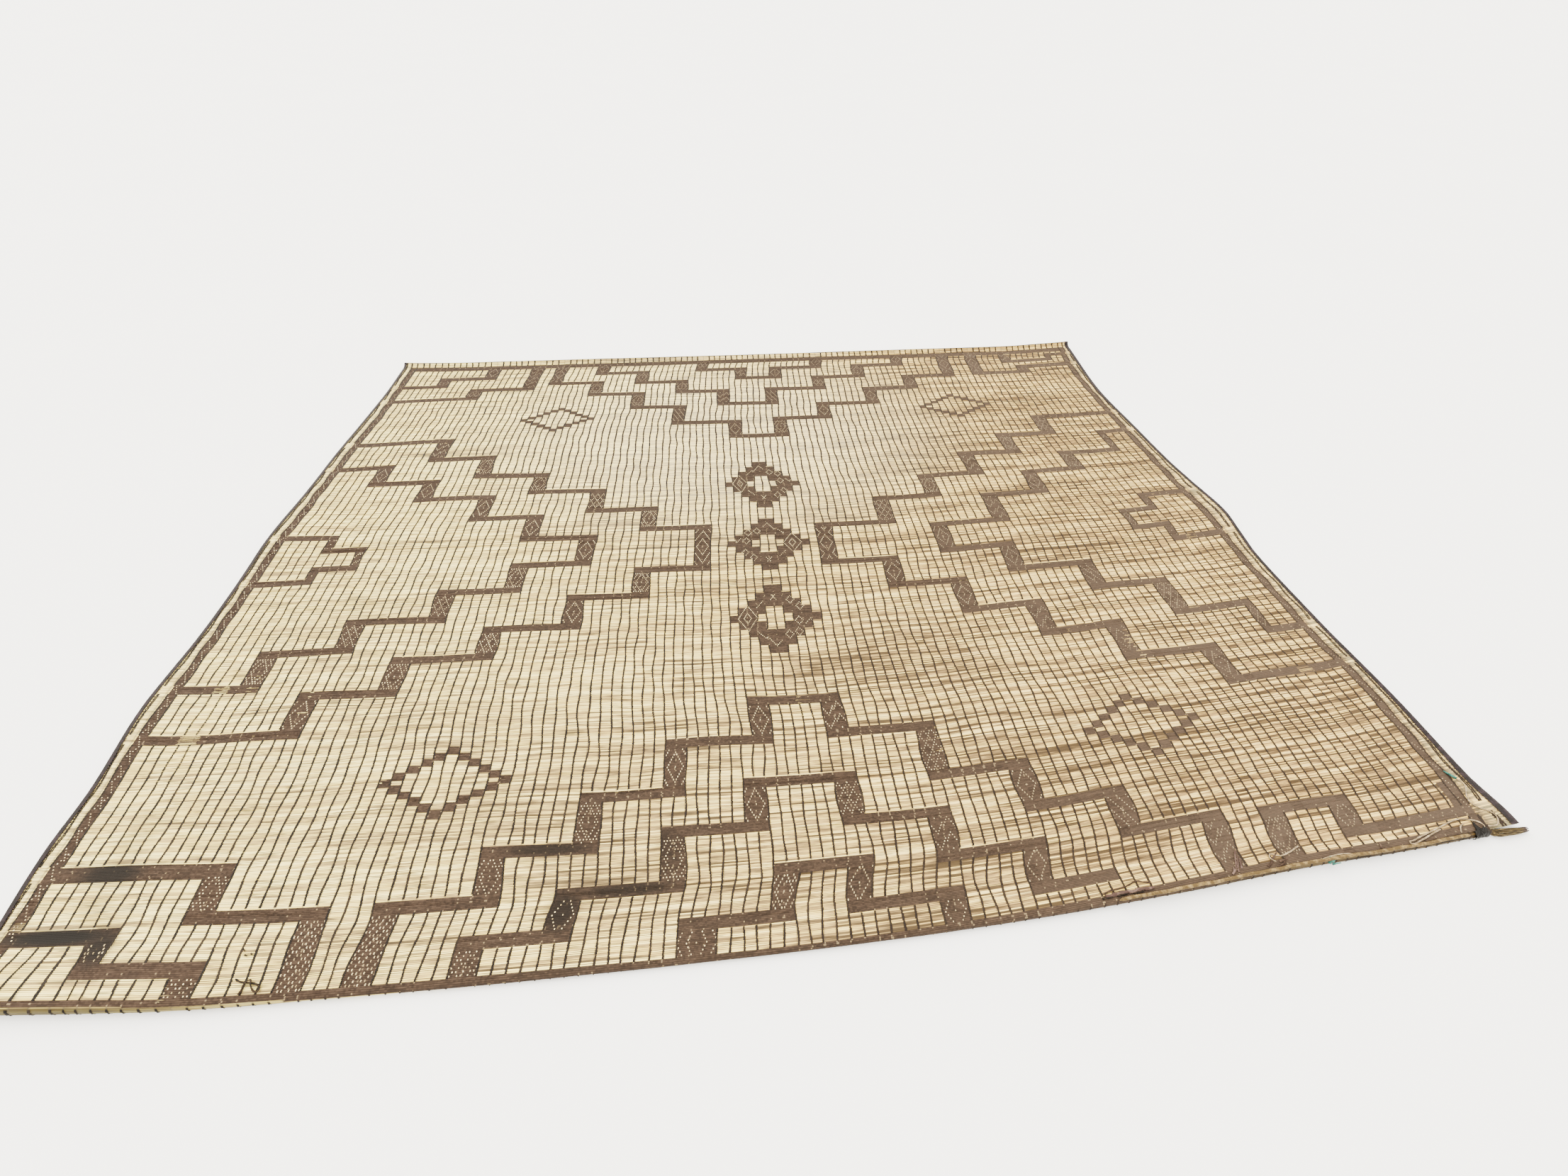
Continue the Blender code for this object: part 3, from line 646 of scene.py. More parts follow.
def makeWovenLeather():
    # thin strips of goatskin woven over and under the thongs: matt, dry, worn pale on the ridges
    material, tree = startMaterial("wovenGoatLeather", 0.72)
    weaveMap, column, row, cell, strip, fromThong, fromTop = readWeave(tree)
    toMiddle = addNode(tree, "MapRange", column, 12.0, 42.0)
    toRight = addNode(tree, "MapRange", column, 62.0, 95.0)
    # every cell has its own darkness, and each strip its own wear along its length
    block = addNode(tree, "Math FLOOR", addNode(tree, "Math MULTIPLY", row, 0.14))
    block = addNode(tree, "CombineXYZ", cell, block)
    cellTone = addNode(tree, "TexWhiteNoise", block, **flatNoise)
    cellDark = addNode(tree, "MapRange", cellTone, 0.62, 1.0, 0.0, 0.42)
    wearAt = addNode(tree, "CombineXYZ", addNode(tree, "Math MULTIPLY", column, 0.9),
                     addNode(tree, "Math MULTIPLY", strip, 4.3))
    wear = addNode(tree, "TexNoise", {"Vector": wearAt, "Scale": 1.0, "Detail": 3.0,
                                      "Roughness": 0.6})
    worn = addNode(tree, "MapRange", wear, 0.48, 0.70, 0.0, 0.50)
    # fine mesh of the strips' own threads, a sixth of a column wide
    meshAt = addNode(tree, "VectorMath MULTIPLY", weaveMap, (6.0, 1.0, 1.0))
    meshAt = addNode(tree, "VectorMath FLOOR", meshAt)
    meshTone = addNode(tree, "TexWhiteNoise", meshAt, **flatNoise)
    meshTone = addNode(tree, "MapRange", meshTone, 0.35, 1.0, 0.0, 0.35)
    # pale reed showing as ticks beside the thongs
    beside = addNode(tree, "Math GREATER_THAN", fromThong, 0.40)
    tickAt = addNode(tree, "CombineXYZ", cell, strip, 4.0)
    tick = addNode(tree, "TexWhiteNoise", tickAt, noise_dimensions="3D")
    tick = addNode(tree, "Math GREATER_THAN", tick, 0.87)
    tick = addNode(tree, "Math MULTIPLY", addNode(tree, "Math MULTIPLY", tick, beside), 0.45)
    # painted shade in the gaps between the strips
    gap = addNode(tree, "MapRange", fromTop, 0.34, 0.5, 0.0, 0.75, **eased)
    stain = addSpots(tree, column, row, stains)
    colour = wovenLeather["left"]
    for share, shade in ((toMiddle, "middle"), (toRight, "right"), (cellDark, "dark"),
                         (worn, "worn"), (meshTone, "worn"), (tick, "tick"), (gap, "gap"),
                         (stain, "stain")):
        colour = addNode(tree, "Mix", {0: share, 6: colour, 7: wovenLeather[shade]}, **mixing)
    grainAt = addNode(tree, "VectorMath MULTIPLY", weaveMap, (14.0, 2.2, 1.0))
    grain = addNode(tree, "TexNoise", {"Vector": grainAt, "Scale": 1.0, "Detail": 3.0})
    return finishMaterial(material, colour, grain, 0.5, 0.0006)


def makeThongLeather():
    # narrow dark hide thong, twined round the reeds: darker at the left, greyer to the right
    material, tree = startMaterial("darkHideThong", 0.66)
    weaveMap, column, *_ = readWeave(tree)
    across = addNode(tree, "MapRange", column, 15.0, 85.0)
    wearAt = addNode(tree, "VectorMath MULTIPLY", weaveMap, (0.8, 0.06, 1.0))
    wear = addNode(tree, "TexNoise", {"Vector": wearAt, "Scale": 1.0, "Detail": 3.0})
    worn = addNode(tree, "MapRange", wear, 0.48, 0.68, 0.0, 0.5)
    colour = "#0e0907"
    for share, shade in ((across, "#1d1510"), (worn, "#30261c")):
        colour = addNode(tree, "Mix", {0: share, 6: colour, 7: shade}, **mixing)
    grain = addNode(tree, "TexNoise", {"Vector": weaveMap, "Scale": 9.0, "Detail": 2.0})
    return finishMaterial(material, colour, grain, 0.4, 0.0003)


def makePaleReed():
    # pale reed that shows between the leather strips as small stitches, duller towards the far
    # and the right side
    material, tree = startMaterial("paleReedStitch", 0.55)
    weaveMap, column, row, *_ = readWeave(tree)
    tone = addNode(tree, "TexNoise", {"Vector": weaveMap, "Scale": 0.9, "Detail": 2.0})
    ramp = setRamp(addNode(tree, "ValToRGB", tone),
                   ((0.35, "#93815d"), (0.52, "#c4b387"), (0.68, "#e2d4a8")))
    toRight = addNode(tree, "MapRange", column, 50.0, 92.0, 0.0, 0.72)
    toFar = addNode(tree, "MapRange", row, 380.0, 700.0, 0.0, 0.72)
    dull = addNode(tree, "Math MAXIMUM", toRight, toFar)
    colour = addNode(tree, "Mix", {0: dull, 6: ramp, 7: "#544539"}, **mixing)
    grain = addNode(tree, "TexNoise", {"Vector": weaveMap, "Scale": 20.0})
    return finishMaterial(material, colour, grain, 0.3, 0.0002)


def makeBundleReed():
    # weathered reed ends, handled and grey brown, with a tip stained dark purple
    material, tree = startMaterial("weatheredReed", 0.62)
    place = addNode(tree, "TexCoord", output="Object")
    longAt = addNode(tree, "VectorMath MULTIPLY", place, (25.0, 380.0, 380.0))
    fibre = addNode(tree, "TexNoise", {"Vector": longAt, "Scale": 1.0, "Detail": 3.0})
    ramp = setRamp(addNode(tree, "ValToRGB", fibre),
                   ((0.34, "#18120a"), (0.5, "#382d1b"), (0.66, "#645535")))
    tip = addNode(tree, "MapRange", addNode(tree, "SeparateXYZ", place), 1.955, 1.985, 0.0, 0.85)
    colour = addNode(tree, "Mix", {0: tip, 6: ramp, 7: "#2f2224"}, **mixing)
    return finishMaterial(material, colour, fibre, 0.5, 0.0003)


def makeHide(name, base, worn, scale, roughness, bumpDistance=0.0004):
    # hide or thread with a fine pebbled grain of about 1/scale metres, paler where it is rubbed
    material, tree = startMaterial(name, roughness)
    place = addNode(tree, "TexCoord", output="Object")
    patchy = addNode(tree, "TexNoise", {"Vector": place, "Scale": scale / 12, "Detail": 4.0,
                                        "Roughness": 0.6})
    rub = addNode(tree, "MapRange", patchy, 0.45, 0.72)
    colour = addNode(tree, "Mix", {0: rub, 6: base, 7: worn}, **mixing)
    grain = addNode(tree, "TexVoronoi", {"Vector": place, "Scale": scale})
    fine = addNode(tree, "TexNoise", {"Vector": place, "Scale": scale * 0.4, "Detail": 3.0})
    height = addNode(tree, "Math ADD", grain, fine)
    rough = addNode(tree, "MapRange", patchy, 0.3, 0.7, roughness - 0.08, roughness + 0.08)
    return finishMaterial(material, colour, height, 0.7, bumpDistance, rough)


materials = {
    "straw": makeStraw(),
    "woven": makeWovenLeather(),
    "warp": makeThongLeather(),
    "stitch": makePaleReed(),
    "reedEnds": makeBundleReed(),
    # dyed goatskin, nearly black with a wine tint, folded and sewn: half matt, scuffed on its ridge
    "binding": makeHide("aubergineGoatskin", "#0e090c", "#2b2127", 900, 0.62),
    # cowhide thong wound tight, dry and brown
    "brown": makeHide("brownHideThong", "#281c15", "#55443a", 800, 0.68),
    # a lighter, olive hide wound over the cord of the near edge
    "olive": makeHide("oliveHideThong", "#4a3b22", "#85714a", 800, 0.68),
    # undyed hide, pinkish where it is rubbed
    "pink": makeHide("rubbedPinkHide", "#3a2b27", "#705c54", 800, 0.70),
    # the same hide blackened by handling
    "dark": makeHide("blackenedHideThong", "#120c08", "#33271c", 800, 0.70),
    # black scrap, stiff and slightly shiny on its creases
    "scrap": makeHide("blackScrapLeather", "#040303", "#120f0e", 700, 0.50, 0.0007),
    # untanned rawhide, grey beige and dry
    "pale": makeHide("paleRawhide", "#6b5d48", "#a3937a", 800, 0.70),
    # spun cotton thread, faded teal, matt
    "teal": makeHide("fadedTealCotton", "#1d4b45", "#4b8077", 1500, 0.85),
}
print("materials made")

thongs = {
    "radius": 0.0018,
    "lift": 0.0047,       # centre over the mat's middle layer
    "flatness": 0.62,     # height over width
    "step": 0.0025,
    "sides": 8,
    "startLift": 0.0012,  # inside the weave where a thong comes out
    "riseLength": 0.010,
    "roll": 0.35,         # radians that the flat thong rocks to both sides
    "swell": 0.10,
}
routes = {  # x, y and, where it lies on the scrap or on itself, its lift over the mat
    "tie_thong": (
        (1.866, -1.4185), (1.881, -1.4205), (1.897, -1.4175), (1.908, -1.408), (1.914, -1.397),
        (1.913, -1.386), (1.903, -1.377), (1.890, -1.368), (1.884, -1.356), (1.888, -1.342),
        (1.898, -1.329), (1.911, -1.317), (1.920, -1.305), (1.921, -1.294), (1.9145, -1.2825),
    ),
    "loop_thong": (
        (1.850, -1.426, 0.0024), (1.852, -1.416, 0.0024), (1.846, -1.406, 0.0018),
        (1.830, -1.3985, 0.0), (1.808, -1.394, 0.0), (1.780, -1.396, 0.0), (1.749, -1.403, 0.0),
        (1.717, -1.411, 0.0), (1.685, -1.4185, 0.0), (1.650, -1.4265, 0.0),
        (1.624, -1.4335, 0.0), (1.612, -1.4345, 0.0), (1.610, -1.4405, 0.0),
        (1.622, -1.4415, 0.0), (1.645, -1.4355, 0.0), (1.672, -1.428, 0.0),
        (1.698, -1.4205, 0.0), (1.722, -1.4145, 0.0012),
    ),
    "small_loop_thong": (
        (1.806, -1.4065), (1.796, -1.4085), (1.787, -1.4125), (1.7805, -1.419), (1.778, -1.4275),
    ),
    "knotted_thong": (
        (1.214, -1.444), (1.205, -1.441), (1.202, -1.432), (1.210, -1.426), (1.221, -1.430),
        (1.234, -1.433), (1.252, -1.430), (1.275, -1.423), (1.298, -1.415),
    ),
    "stub_thong": (
        (1.086, -1.4600), (1.093, -1.452), (1.101, -1.441), (1.109, -1.428), (1.116, -1.417),
        (1.123, -1.408),
    ),
    "pale_strand": (
        (1.310, -1.4565), (1.331, -1.4545), (1.352, -1.4505), (1.373, -1.4475), (1.394, -1.446),
        (1.414, -1.4465), (1.432, -1.4495),
    ),
    "tail_thong": (
        (0.722, -1.473), (0.738, -1.4675), (0.756, -1.465), (0.775, -1.463), (0.795, -1.459),
        (0.812, -1.4535), (0.826, -1.4525), (0.838, -1.456), (0.856, -1.459),
    ),
    "curled_thong": (
        (-1.309, -1.434, 0.0), (-1.296, -1.440, 0.0), (-1.284, -1.444, 0.0),
        (-1.272, -1.4455, 0.0), (-1.260, -1.448, 0.0), (-1.249, -1.453, 0.0),
        (-1.2445, -1.460, 0.0005), (-1.249, -1.465, 0.0010), (-1.257, -1.4605, 0.0015),
        (-1.264, -1.453, 0.0022), (-1.268, -1.4455, 0.0031), (-1.271, -1.440, 0.0027),
        (-1.277, -1.4415, 0.0027), (-1.281, -1.449, 0.0027), (-1.281, -1.458, 0.0014),
        (-1.284, -1.466, 0.0006),
    ),
}


def smoothRoute(points, spacing):
    # even points on a smooth curve through the given ones
    points = np.asarray(points, float)
    before = np.vstack((2 * points[:1] - points[1:2], points[:-1]))[:-1]
    after = np.vstack((points[2:], 2 * points[-1:] - points[-2:-1]))
    t = np.linspace(0, 1, 12, endpoint=False)[None, :, None]
    a, b, c, d = (p[:, None, :] for p in (before, points[:-1], points[1:], after))
    dense = (b * 2 + (c - a) * t + (a * 2 - b * 5 + c * 4 - d) * t**2
             + (b * 3 - a - c * 3 + d) * t**3) / 2
    dense = np.vstack((dense.reshape(-1, points.shape[1]), points[-1:]))
    lengths = np.concatenate(([0], np.cumsum(np.linalg.norm(np.diff(dense, axis=0), axis=1))))
    wanted = np.linspace(0, lengths[-1], max(2, round(lengths[-1] / spacing)) + 1)
    return np.stack([np.interp(wanted, lengths, values) for values in dense.T], -1)


def pathFrames(points):
    # sideways and upright direction at each point of a path
    heading = np.gradient(points, axis=0)
    heading /= np.linalg.norm(heading, axis=1, keepdims=True)
    side = np.cross(heading, (0.0, 0.0, 1.0))
    side /= np.maximum(np.linalg.norm(side, axis=1, keepdims=True), 1e-9)
    return side, np.cross(side, heading)


def addSweep(points, section, pot=None, frames=None):
    # closed solid of sections along a path; section holds sideways and upright offsets
    pot = pot or newPot()
    sides, uprights = frames or pathFrames(points)
    section = np.broadcast_to(section, (len(points), *np.shape(section)[-2:]))
    ring = (points[:, None] + sides[:, None] * section[..., :1]
            + uprights[:, None] * section[..., 1:])
    stations, count = ring.shape[:2]
    along = np.concatenate(([0], np.cumsum(np.linalg.norm(np.diff(points, axis=0), axis=1))))
    faces, places = [], []
    for k in range(stations - 1):
        for j in range(count):
            after = (j + 1) % count
            faces.append((k * count + j, k * count + after,
                          (k + 1) * count + after, (k + 1) * count + j))
            places.extend(((along[k], j / count), (along[k], (j + 1) / count),
                           (along[k + 1], (j + 1) / count), (along[k + 1], j / count)))
    for k, order in ((0, range(count - 1, -1, -1)), (stations - 1, range(count))):
        faces.append(tuple(k * count + j for j in order))
        places.extend((along[k], j / count) for j in order)
    pour(pot, ring, faces, places, places)
    return pot


def ellipse(width, height, sides):
    angle = np.arange(sides) / sides * 2 * np.pi
    return np.stack((np.cos(angle) * width, np.sin(angle) * height), -1)


def liftedRoute(name, goesBack):
    # the route in plan, laid on the mat; it comes up out of the weave and may go back into it
    plan = smoothRoute(routes[name], thongs["step"])
    share = np.arange(len(plan)) * thongs["step"] / thongs["riseLength"]
    rise = smoothStep(share) * (smoothStep(share[::-1]) if goesBack else 1.0)
    lift = thongs["startLift"] + (thongs["lift"] - thongs["startLift"]) * rise
    over = plan[:, 2] if plan.shape[1] == 3 else 0.0
    return np.column_stack((plan[:, :2], middleHeight(plan[:, 0], plan[:, 1]) + lift + over))


whipping = {
    "length": 0.030,
    "radii": (0.0038, 0.0030, 0.0016),
    "turns": 22,
    "ridge": 0.00022,
    "core": 0.00025,  # how far the ridges' middle lies inside the radius
    "gap": 0.0003,    # from the thong's end
}


def makeWhipping(end, heading):
    # thread wound round the free end of the tie thong, each turn a small ridge
    count, sides = whipping["turns"] * 4, 12
    share = np.linspace(0, 1, count + 1)
    start = end + heading * whipping["gap"]
    start = start + np.array((0, 0, whipping["radii"][0] - thongs["radius"]))
    points = start + heading * (share * whipping["length"])[:, None]
    radius = np.interp(share, (0, 0.5, 1), whipping["radii"])[:, None]
    turns = share[:, None] * whipping["turns"] - np.arange(sides) / sides
    radius = radius - whipping["core"] + whipping["ridge"] * np.cos(2 * np.pi * turns)
    pot = addSweep(points, ellipse(1, 1, sides) * radius[..., None])
    return finishPiece("wound_teal_thread", pot, materials["teal"],
                       "teal_whipping")


thongFacts = {  # name: material, slot, goes back in, far end
    "tie_thong": ("pale", "pale_leather", False, "knot"),
    "loop_thong": ("pale", "pale_leather", False, "bare"),
    "small_loop_thong": ("pale", "pale_leather", True, "object"),
    "knotted_thong": ("pale", "brown_leather", False, "bare"),
    "stub_thong": ("pink", "brown_leather", False, "bare"),
    "pale_strand": ("pale", "pale_leather", False, "bare"),
    "tail_thong": ("brown", "brown_leather", False, "bare"),
    "curled_thong": ("dark", "brown_leather", False, "bare"),
}


def makeThong(name, look, slot, goesBack, farEnd):
    # flat thong that rocks and swells a little along its length; pale_strand has no solid
    path = liftedRoute(name, goesBack)
    side, upright = pathFrames(path)
    station = np.arange(len(path))[:, None]
    roll = thongs["roll"] * np.sin(station * 0.37 + len(name))
    turned = (side * np.cos(roll) + upright * np.sin(roll),
              upright * np.cos(roll) - side * np.sin(roll))
    radius = thongs["radius"]
    section = ellipse(radius, radius * thongs["flatness"], thongs["sides"])
    swell = 1 + thongs["swell"] * np.sin(station * 0.9)[..., None]
    piece = finishPiece("loose_" + name, addSweep(path, section * swell, frames=turned),
                        materials[look], None if name == "pale_strand" else name)
    withPieces = []
    if name == "tie_thong":
        heading = path[-1] - path[-2]
        withPieces = [makeWhipping(path[-1], heading / np.linalg.norm(heading))]


for thongName, facts in thongFacts.items():
    makeThong(thongName, *facts)


def addGrid(name, across, along):
    # grid of that many faces, with each point's share across and along
    bpy.ops.object.select_all(action="DESELECT")
    bpy.ops.mesh.primitive_grid_add(x_subdivisions=across, y_subdivisions=along, size=2)
    piece = bpy.context.active_object
    piece.name = piece.data.name = name
    places = np.zeros(len(piece.data.vertices) * 3)
    piece.data.vertices.foreach_get("co", places)
    across, along, _ = places.reshape(-1, 3).T / 2 + 0.5
    return piece, across, along


def thicken(piece, thickness, offset, evenOffset, smoothAngle, material):
    selectOnly(piece)
    solid = piece.modifiers.new("thickness", "SOLIDIFY")
    solid.thickness = thickness
    solid.offset = offset
    solid.use_even_offset = evenOffset
    bpy.ops.object.modifier_apply(modifier=solid.name)
    bpy.ops.object.shade_smooth_by_angle(angle=math.radians(smoothAngle))
    piece.data.materials.clear()
    piece.data.materials.append(material)


base = {
    "columns": 100,
    "rows": 64,
    "top": 0.0003,     # over the middle layer
    "sideColumns": (-2.0, -1.7, -1.35, -0.82, 0.0, 0.8),  # at the left, and mirrored at the right
    "inset": 1.6,      # from there the columns are even
    "turnRows": 12,
    "nearRows": 9,     # up to this row of the weave:
    "nearTo": 44,
    "curlRows": 8,
}


def makeBase():
    # base of the mat: one closed sheet that everything woven lies on, with columns closer at the
    # sides and rows closer round the near turn and the far curl
    piece, across, along = addGrid("reed_sheet", base["columns"], base["rows"])
    mesh, left = piece.data, np.array(base["sideColumns"])
    inner = np.linspace(base["inset"], weave["columns"] - base["inset"],
                        base["columns"] + 1 - 2 * len(left))
    columns = np.concatenate((left, inner, weave["columns"] - left[::-1]))
    columns[np.argmin(np.abs(columns - notchColumn))] = notchColumn
    fieldRows = base["rows"] + 4 - base["turnRows"] - base["nearRows"] - base["curlRows"]
    rows = np.concatenate((
        np.linspace(-endRows, notchRow, base["turnRows"]),
        np.linspace(notchRow, base["nearTo"], base["nearRows"])[1:],
        np.linspace(base["nearTo"], weave["rows"], fieldRows)[1:],
        np.linspace(weave["rows"], weave["rows"] + endRows, base["curlRows"])[1:],
    ))
    u = columns[np.rint(across * base["columns"]).astype(int)]
    v = rows[np.rint(along * base["rows"]).astype(int)]
    mesh.vertices.foreach_set("co", onMat(u, v, base["top"]).ravel())
    layer = mesh.uv_layers[0]
    layer.name = "weave"
    corners = np.zeros(len(mesh.loops), np.int32)
    mesh.loops.foreach_get("vertex_index", corners)
    places = np.column_stack((u[corners], v[corners]))
    layer.data.foreach_set("uv", places.astype(np.float32).ravel())
    # the near strip stops short of the right edge, where its reeds are gathered
    selectOnly(piece)
    bpy.ops.object.mode_set(mode="EDIT")
    bpy.ops.mesh.select_all(action="DESELECT")
    bpy.ops.object.mode_set(mode="OBJECT")
    for face in mesh.polygons:
        ids = list(face.vertices)
        face.select = bool(u[ids].mean() > notchColumn and v[ids].mean() < notchRow)
    bpy.ops.object.mode_set(mode="EDIT")
    bpy.ops.mesh.delete(type="FACE")
    bpy.ops.object.mode_set(mode="OBJECT")
    thicken(piece, sheet["thickness"] / 2 + base["top"], -1, True, 40, materials["straw"])
    return declare(piece, "reed_mat")


baseSheet = makeBase()
print("base sheet made")

# reeds: a ridge for each, in strips of the mat
reeds = {
    "strips": 6,
    "columns": 38,           # stations along a reed between those at the sides
    "sideColumns": (-2.0, -1.6, -1.2, -0.82, 0.0, 1.0),
    "inset": 2.2,
    "unevenTops": 0.00022,
    "unevenDips": 0.00015,
    "deeperDip": 0.00035,    # a deeper gap here and there
    "deeperShare": 0.22,
    "sway": 0.00012,
    "underStep": 32,         # rows of the top to one of the underside
    "bentStep": 2,           # and where the mat is bent
}
rng = np.random.default_rng(23)
firstRow = -int(math.ceil(endRows)) - 1
rowCount = weave["rows"] + 2 * int(math.ceil(endRows)) + 4
rowTops = weave["reedTop"] + reeds["unevenTops"] * rng.uniform(-1, 1, rowCount)
rowDips = weave["reedDip"] + reeds["unevenDips"] * rng.uniform(-1, 1, rowCount)
rowDips[rng.random(rowCount) < reeds["deeperShare"]] -= reeds["deeperDip"]


def reedLift(u, v):
    # height of the reeds over the middle layer at half rows: ridges between dips
    row = np.floor(v + 1e-6)
    index = row.astype(int) - firstRow
    tops = rowTops[index] + reeds["sway"] * np.sin(0.55 * u + 2.1 * index)
    return np.where(np.abs(v - row - 0.5) < 0.3, tops, rowDips[index])


def reedColumns(low, high):
    # stations along the reeds, closer at the mat's sides
    left = np.array(reeds["sideColumns"])
    inner = np.linspace(reeds["inset"], weave["columns"] - reeds["inset"], reeds["columns"])
    stations = np.concatenate((left, inner, weave["columns"] - left[::-1]))
    stations = stations[(stations > low + 0.2) & (stations < high - 0.2)]
    return np.concatenate(([low], stations, [high]))


def halfRows(low, high):
    # dips at whole rows and ridges halfway, with exact ends
    rows = np.arange(math.ceil(low * 2), math.floor(high * 2) + 1) / 2
    if rows[0] - low > 0.05:
        rows = np.concatenate(([low], rows))
    if high - rows[-1] > 0.05:
        rows = np.concatenate((rows, [high]))
    return rows


def makeReeds():
    across = reedColumns(-weave["marginColumns"], edgeColumn)
    edges = np.linspace(0, weave["rows"], reeds["strips"] + 1)
    flat, bent = reeds["underStep"], reeds["bentStep"]
    parts = {f"reed_strip_{k + 1}": ((across, halfRows(*edges[k:k + 2]), flat),)
             for k in range(reeds["strips"])}
    parts["near_turn_reeds"] = (
        (reedColumns(-weave["marginColumns"], notchColumn), halfRows(-endRows, 0), bent),
        (np.linspace(notchColumn, edgeColumn, 6), halfRows(notchRow, 0), bent))
    parts["far_curl_reeds"] = (
        (across, halfRows(weave["rows"], weave["rows"] + endRows), bent),)
    pieces = []
    for name, shells in parts.items():
        pot = newPot()
        for us, vs, underStep in shells:
            addShell(pot, us, vs, reedLift(*np.meshgrid(us, vs)), 0.0, underStep)
        pieces.append(finishPiece(name, spreadBake(pot), materials["straw"],
                                  smoothAngle=70, woven=True))
    return pieces


reedPieces = makeReeds()
print("reeds made")

# woven leather: stepped bands, side bands, diamonds and medallions
# start: column and row of the bar that comes from a side band, or no column where a riser starts
# at the near or far band; steps: first column of a riser, its width, the row where it ends;
# end: column that the last bar runs to
steppedBands = (
    ((0, 719), ((5, 2, 739), (12, 2, 768)), None),
    ((0, 681), ((11, 2, 706), (19, 2, 768)), None),
    ((None, 768), ((23, 2, 718), (30, 2, 685), (37, 2, 646), (44, 2, 605), (53, 2, 569),
                   (60, 2, 606), (67, 2, 640), (75, 2, 674), (82, 2, 706), (89, 2, 768)), None),
    ((None, 768), ((30, 2, 744), (37, 2, 714), (44, 2, 685), (51, 2, 648), (59, 2, 685),
                   (67, 2, 713), (74, 2, 744), (81, 2, 768)), None),
    ((None, 768), ((47, 2, 746), (54, 2, 719), (60, 2, 746), (67, 2, 768)), None),
    ((None, 768), ((94, 2, 708), (102, 2, 725)), 111),
    ((None, 768), ((100, 2, 742), (108, 1, 756)), 111),
    ((0, 577), ((11, 2, 540), (18, 2, 504), (26, 2, 469), (34, 2, 432), (41, 2, 398),
                (48, 2, 337), (41, 2, 305), (34, 2, 270), (26, 2, 241), (18, 2, 208),
                (11, 2, 169)), 0),
    ((0, 525), ((5, 2, 495), (12, 2, 463), (20, 2, 426), (27, 2, 391), (34, 2, 351),
                (27, 2, 319), (20, 2, 286), (12, 2, 252), (5, 2, 215)), 0),
    ((0, 402), ((5, 1, 383), (9, 1, 356), (5, 1, 337)), 0),
    ((111, 579), ((99, 2, 540), (92, 2, 502), (85, 2, 463), (78, 2, 428), (71, 2, 390),
                  (63, 2, 334), (70, 2, 295), (77, 2, 254), (84, 2, 218), (91, 2, 180),
                  (99, 2, 144)), 111),
    ((111, 536), ((107, 1, 493), (99, 2, 458), (92, 2, 420), (85, 2, 377), (77, 2, 337),
                  (84, 2, 300), (92, 2, 265), (99, 2, 225), (107, 1, 192)), 111),
    ((111, 400), ((105, 1, 374), (101, 1, 347), (105, 1, 325)), 111),
    ((None, 0), ((24, 2, 42), (31, 2, 72), (38, 2, 106), (45, 2, 145), (53, 2, 178),
                 (60, 2, 142), (68, 2, 98), (75, 2, 66), (82, 2, 37), (89, 2, 0)), None),
    ((None, 0), ((31, 2, 18), (37, 2, 42), (45, 2, 77), (52, 2, 108), (60, 2, 73),
                 (67, 2, 41), (74, 2, 12)), 81),
    ((None, 0), ((47, 3, 18), (54, 2, 46), (60, 2, 18), (67, 2, 0)), None),
    ((0, 71), ((11, 2, 44), (19, 2, 0)), None),
    ((0, 33), ((5, 2, 14), (12, 2, 0)), None),
    ((None, 0), ((94, 2, 33), (100, 2, 10)), 111),
)
smallDiamonds = (  # first column, first row of 11 by 11 cells, rows per cell
    (21, 593, 5.2), (83, 589, 5.3), (21, 99, 4.9), (83, 88, 5.0),
)
medallions = (  # middle column, first row, last row
    (57, 424, 510), (57, 326, 405), (57, 224, 306),
)
# half widths of a medallion's nine bands and of the holes in them
medallionBands = ((1, 0), (2, 0), (3, 0), (4, 1), (5, 2), (4, 1), (3, 0), (2, 0), (1, 0))
nearBandDepths = (  # from column, to column, reeds
    (-2, 10, 3), (10, 20, 3.5), (20, 28, 4.5), (28, 34, 5.5), (34, 92, bandRows),
    (92, 96, bandRows * 0.88), (96, 112, bandRows * 0.75),
)
deeperBars = ((11, 71, 2), (5, 33, 1))  # bars from the left: column, row, more reeds below
leather = {
    "rise": 0.0005,       # over the reeds
    "pinch": 0.00016,     # lower where a thong crosses
    "under": 0.0008,
    "underStep": 8,
    "cellOverlap": 0.8,   # rows by which the cells of a small diamond reach over each other
    "sideBlock": 48,      # rows of a side band in one block
    "slit": (0.7, 6, 34),  # strip beside the right band: columns, from row, to row
    "pieces": 4,
}
leatherPots = [newPot() for _ in range(leather["pieces"])]
leatherCells = np.zeros((weave["rows"], weave["columns"]), bool)
risers = []


def addLeather(colLow, colHigh, rowLow, rowHigh, perColumn=1, pot=None):
    # raised ridged patch over the reeds, pinched where the thongs cross
    us = np.linspace(colLow, colHigh, max(1, int(round((colHigh - colLow) * perColumn))) + 1)
    vs = halfRows(rowLow, rowHigh)
    u, v = np.meshgrid(us, vs)
    lifts = reedLift(u, v) + leather["rise"] - leather["pinch"] * (np.abs(u - np.round(u)) < 0.1)
    inField = 0 <= rowLow and rowHigh <= weave["rows"]
    if pot is None:
        part = (rowLow + rowHigh) / 2 / weave["rows"] * leather["pieces"]
        pot = leatherPots[int(np.clip(part, 0, leather["pieces"] - 1))]
    addShell(pot, us, vs, lifts, leather["under"],
             leather["underStep"] if inField else reeds["bentStep"])
    if inField and colHigh - colLow >= 1:
        leatherCells[int(rowLow):int(rowHigh), int(colLow):int(colHigh)] = True


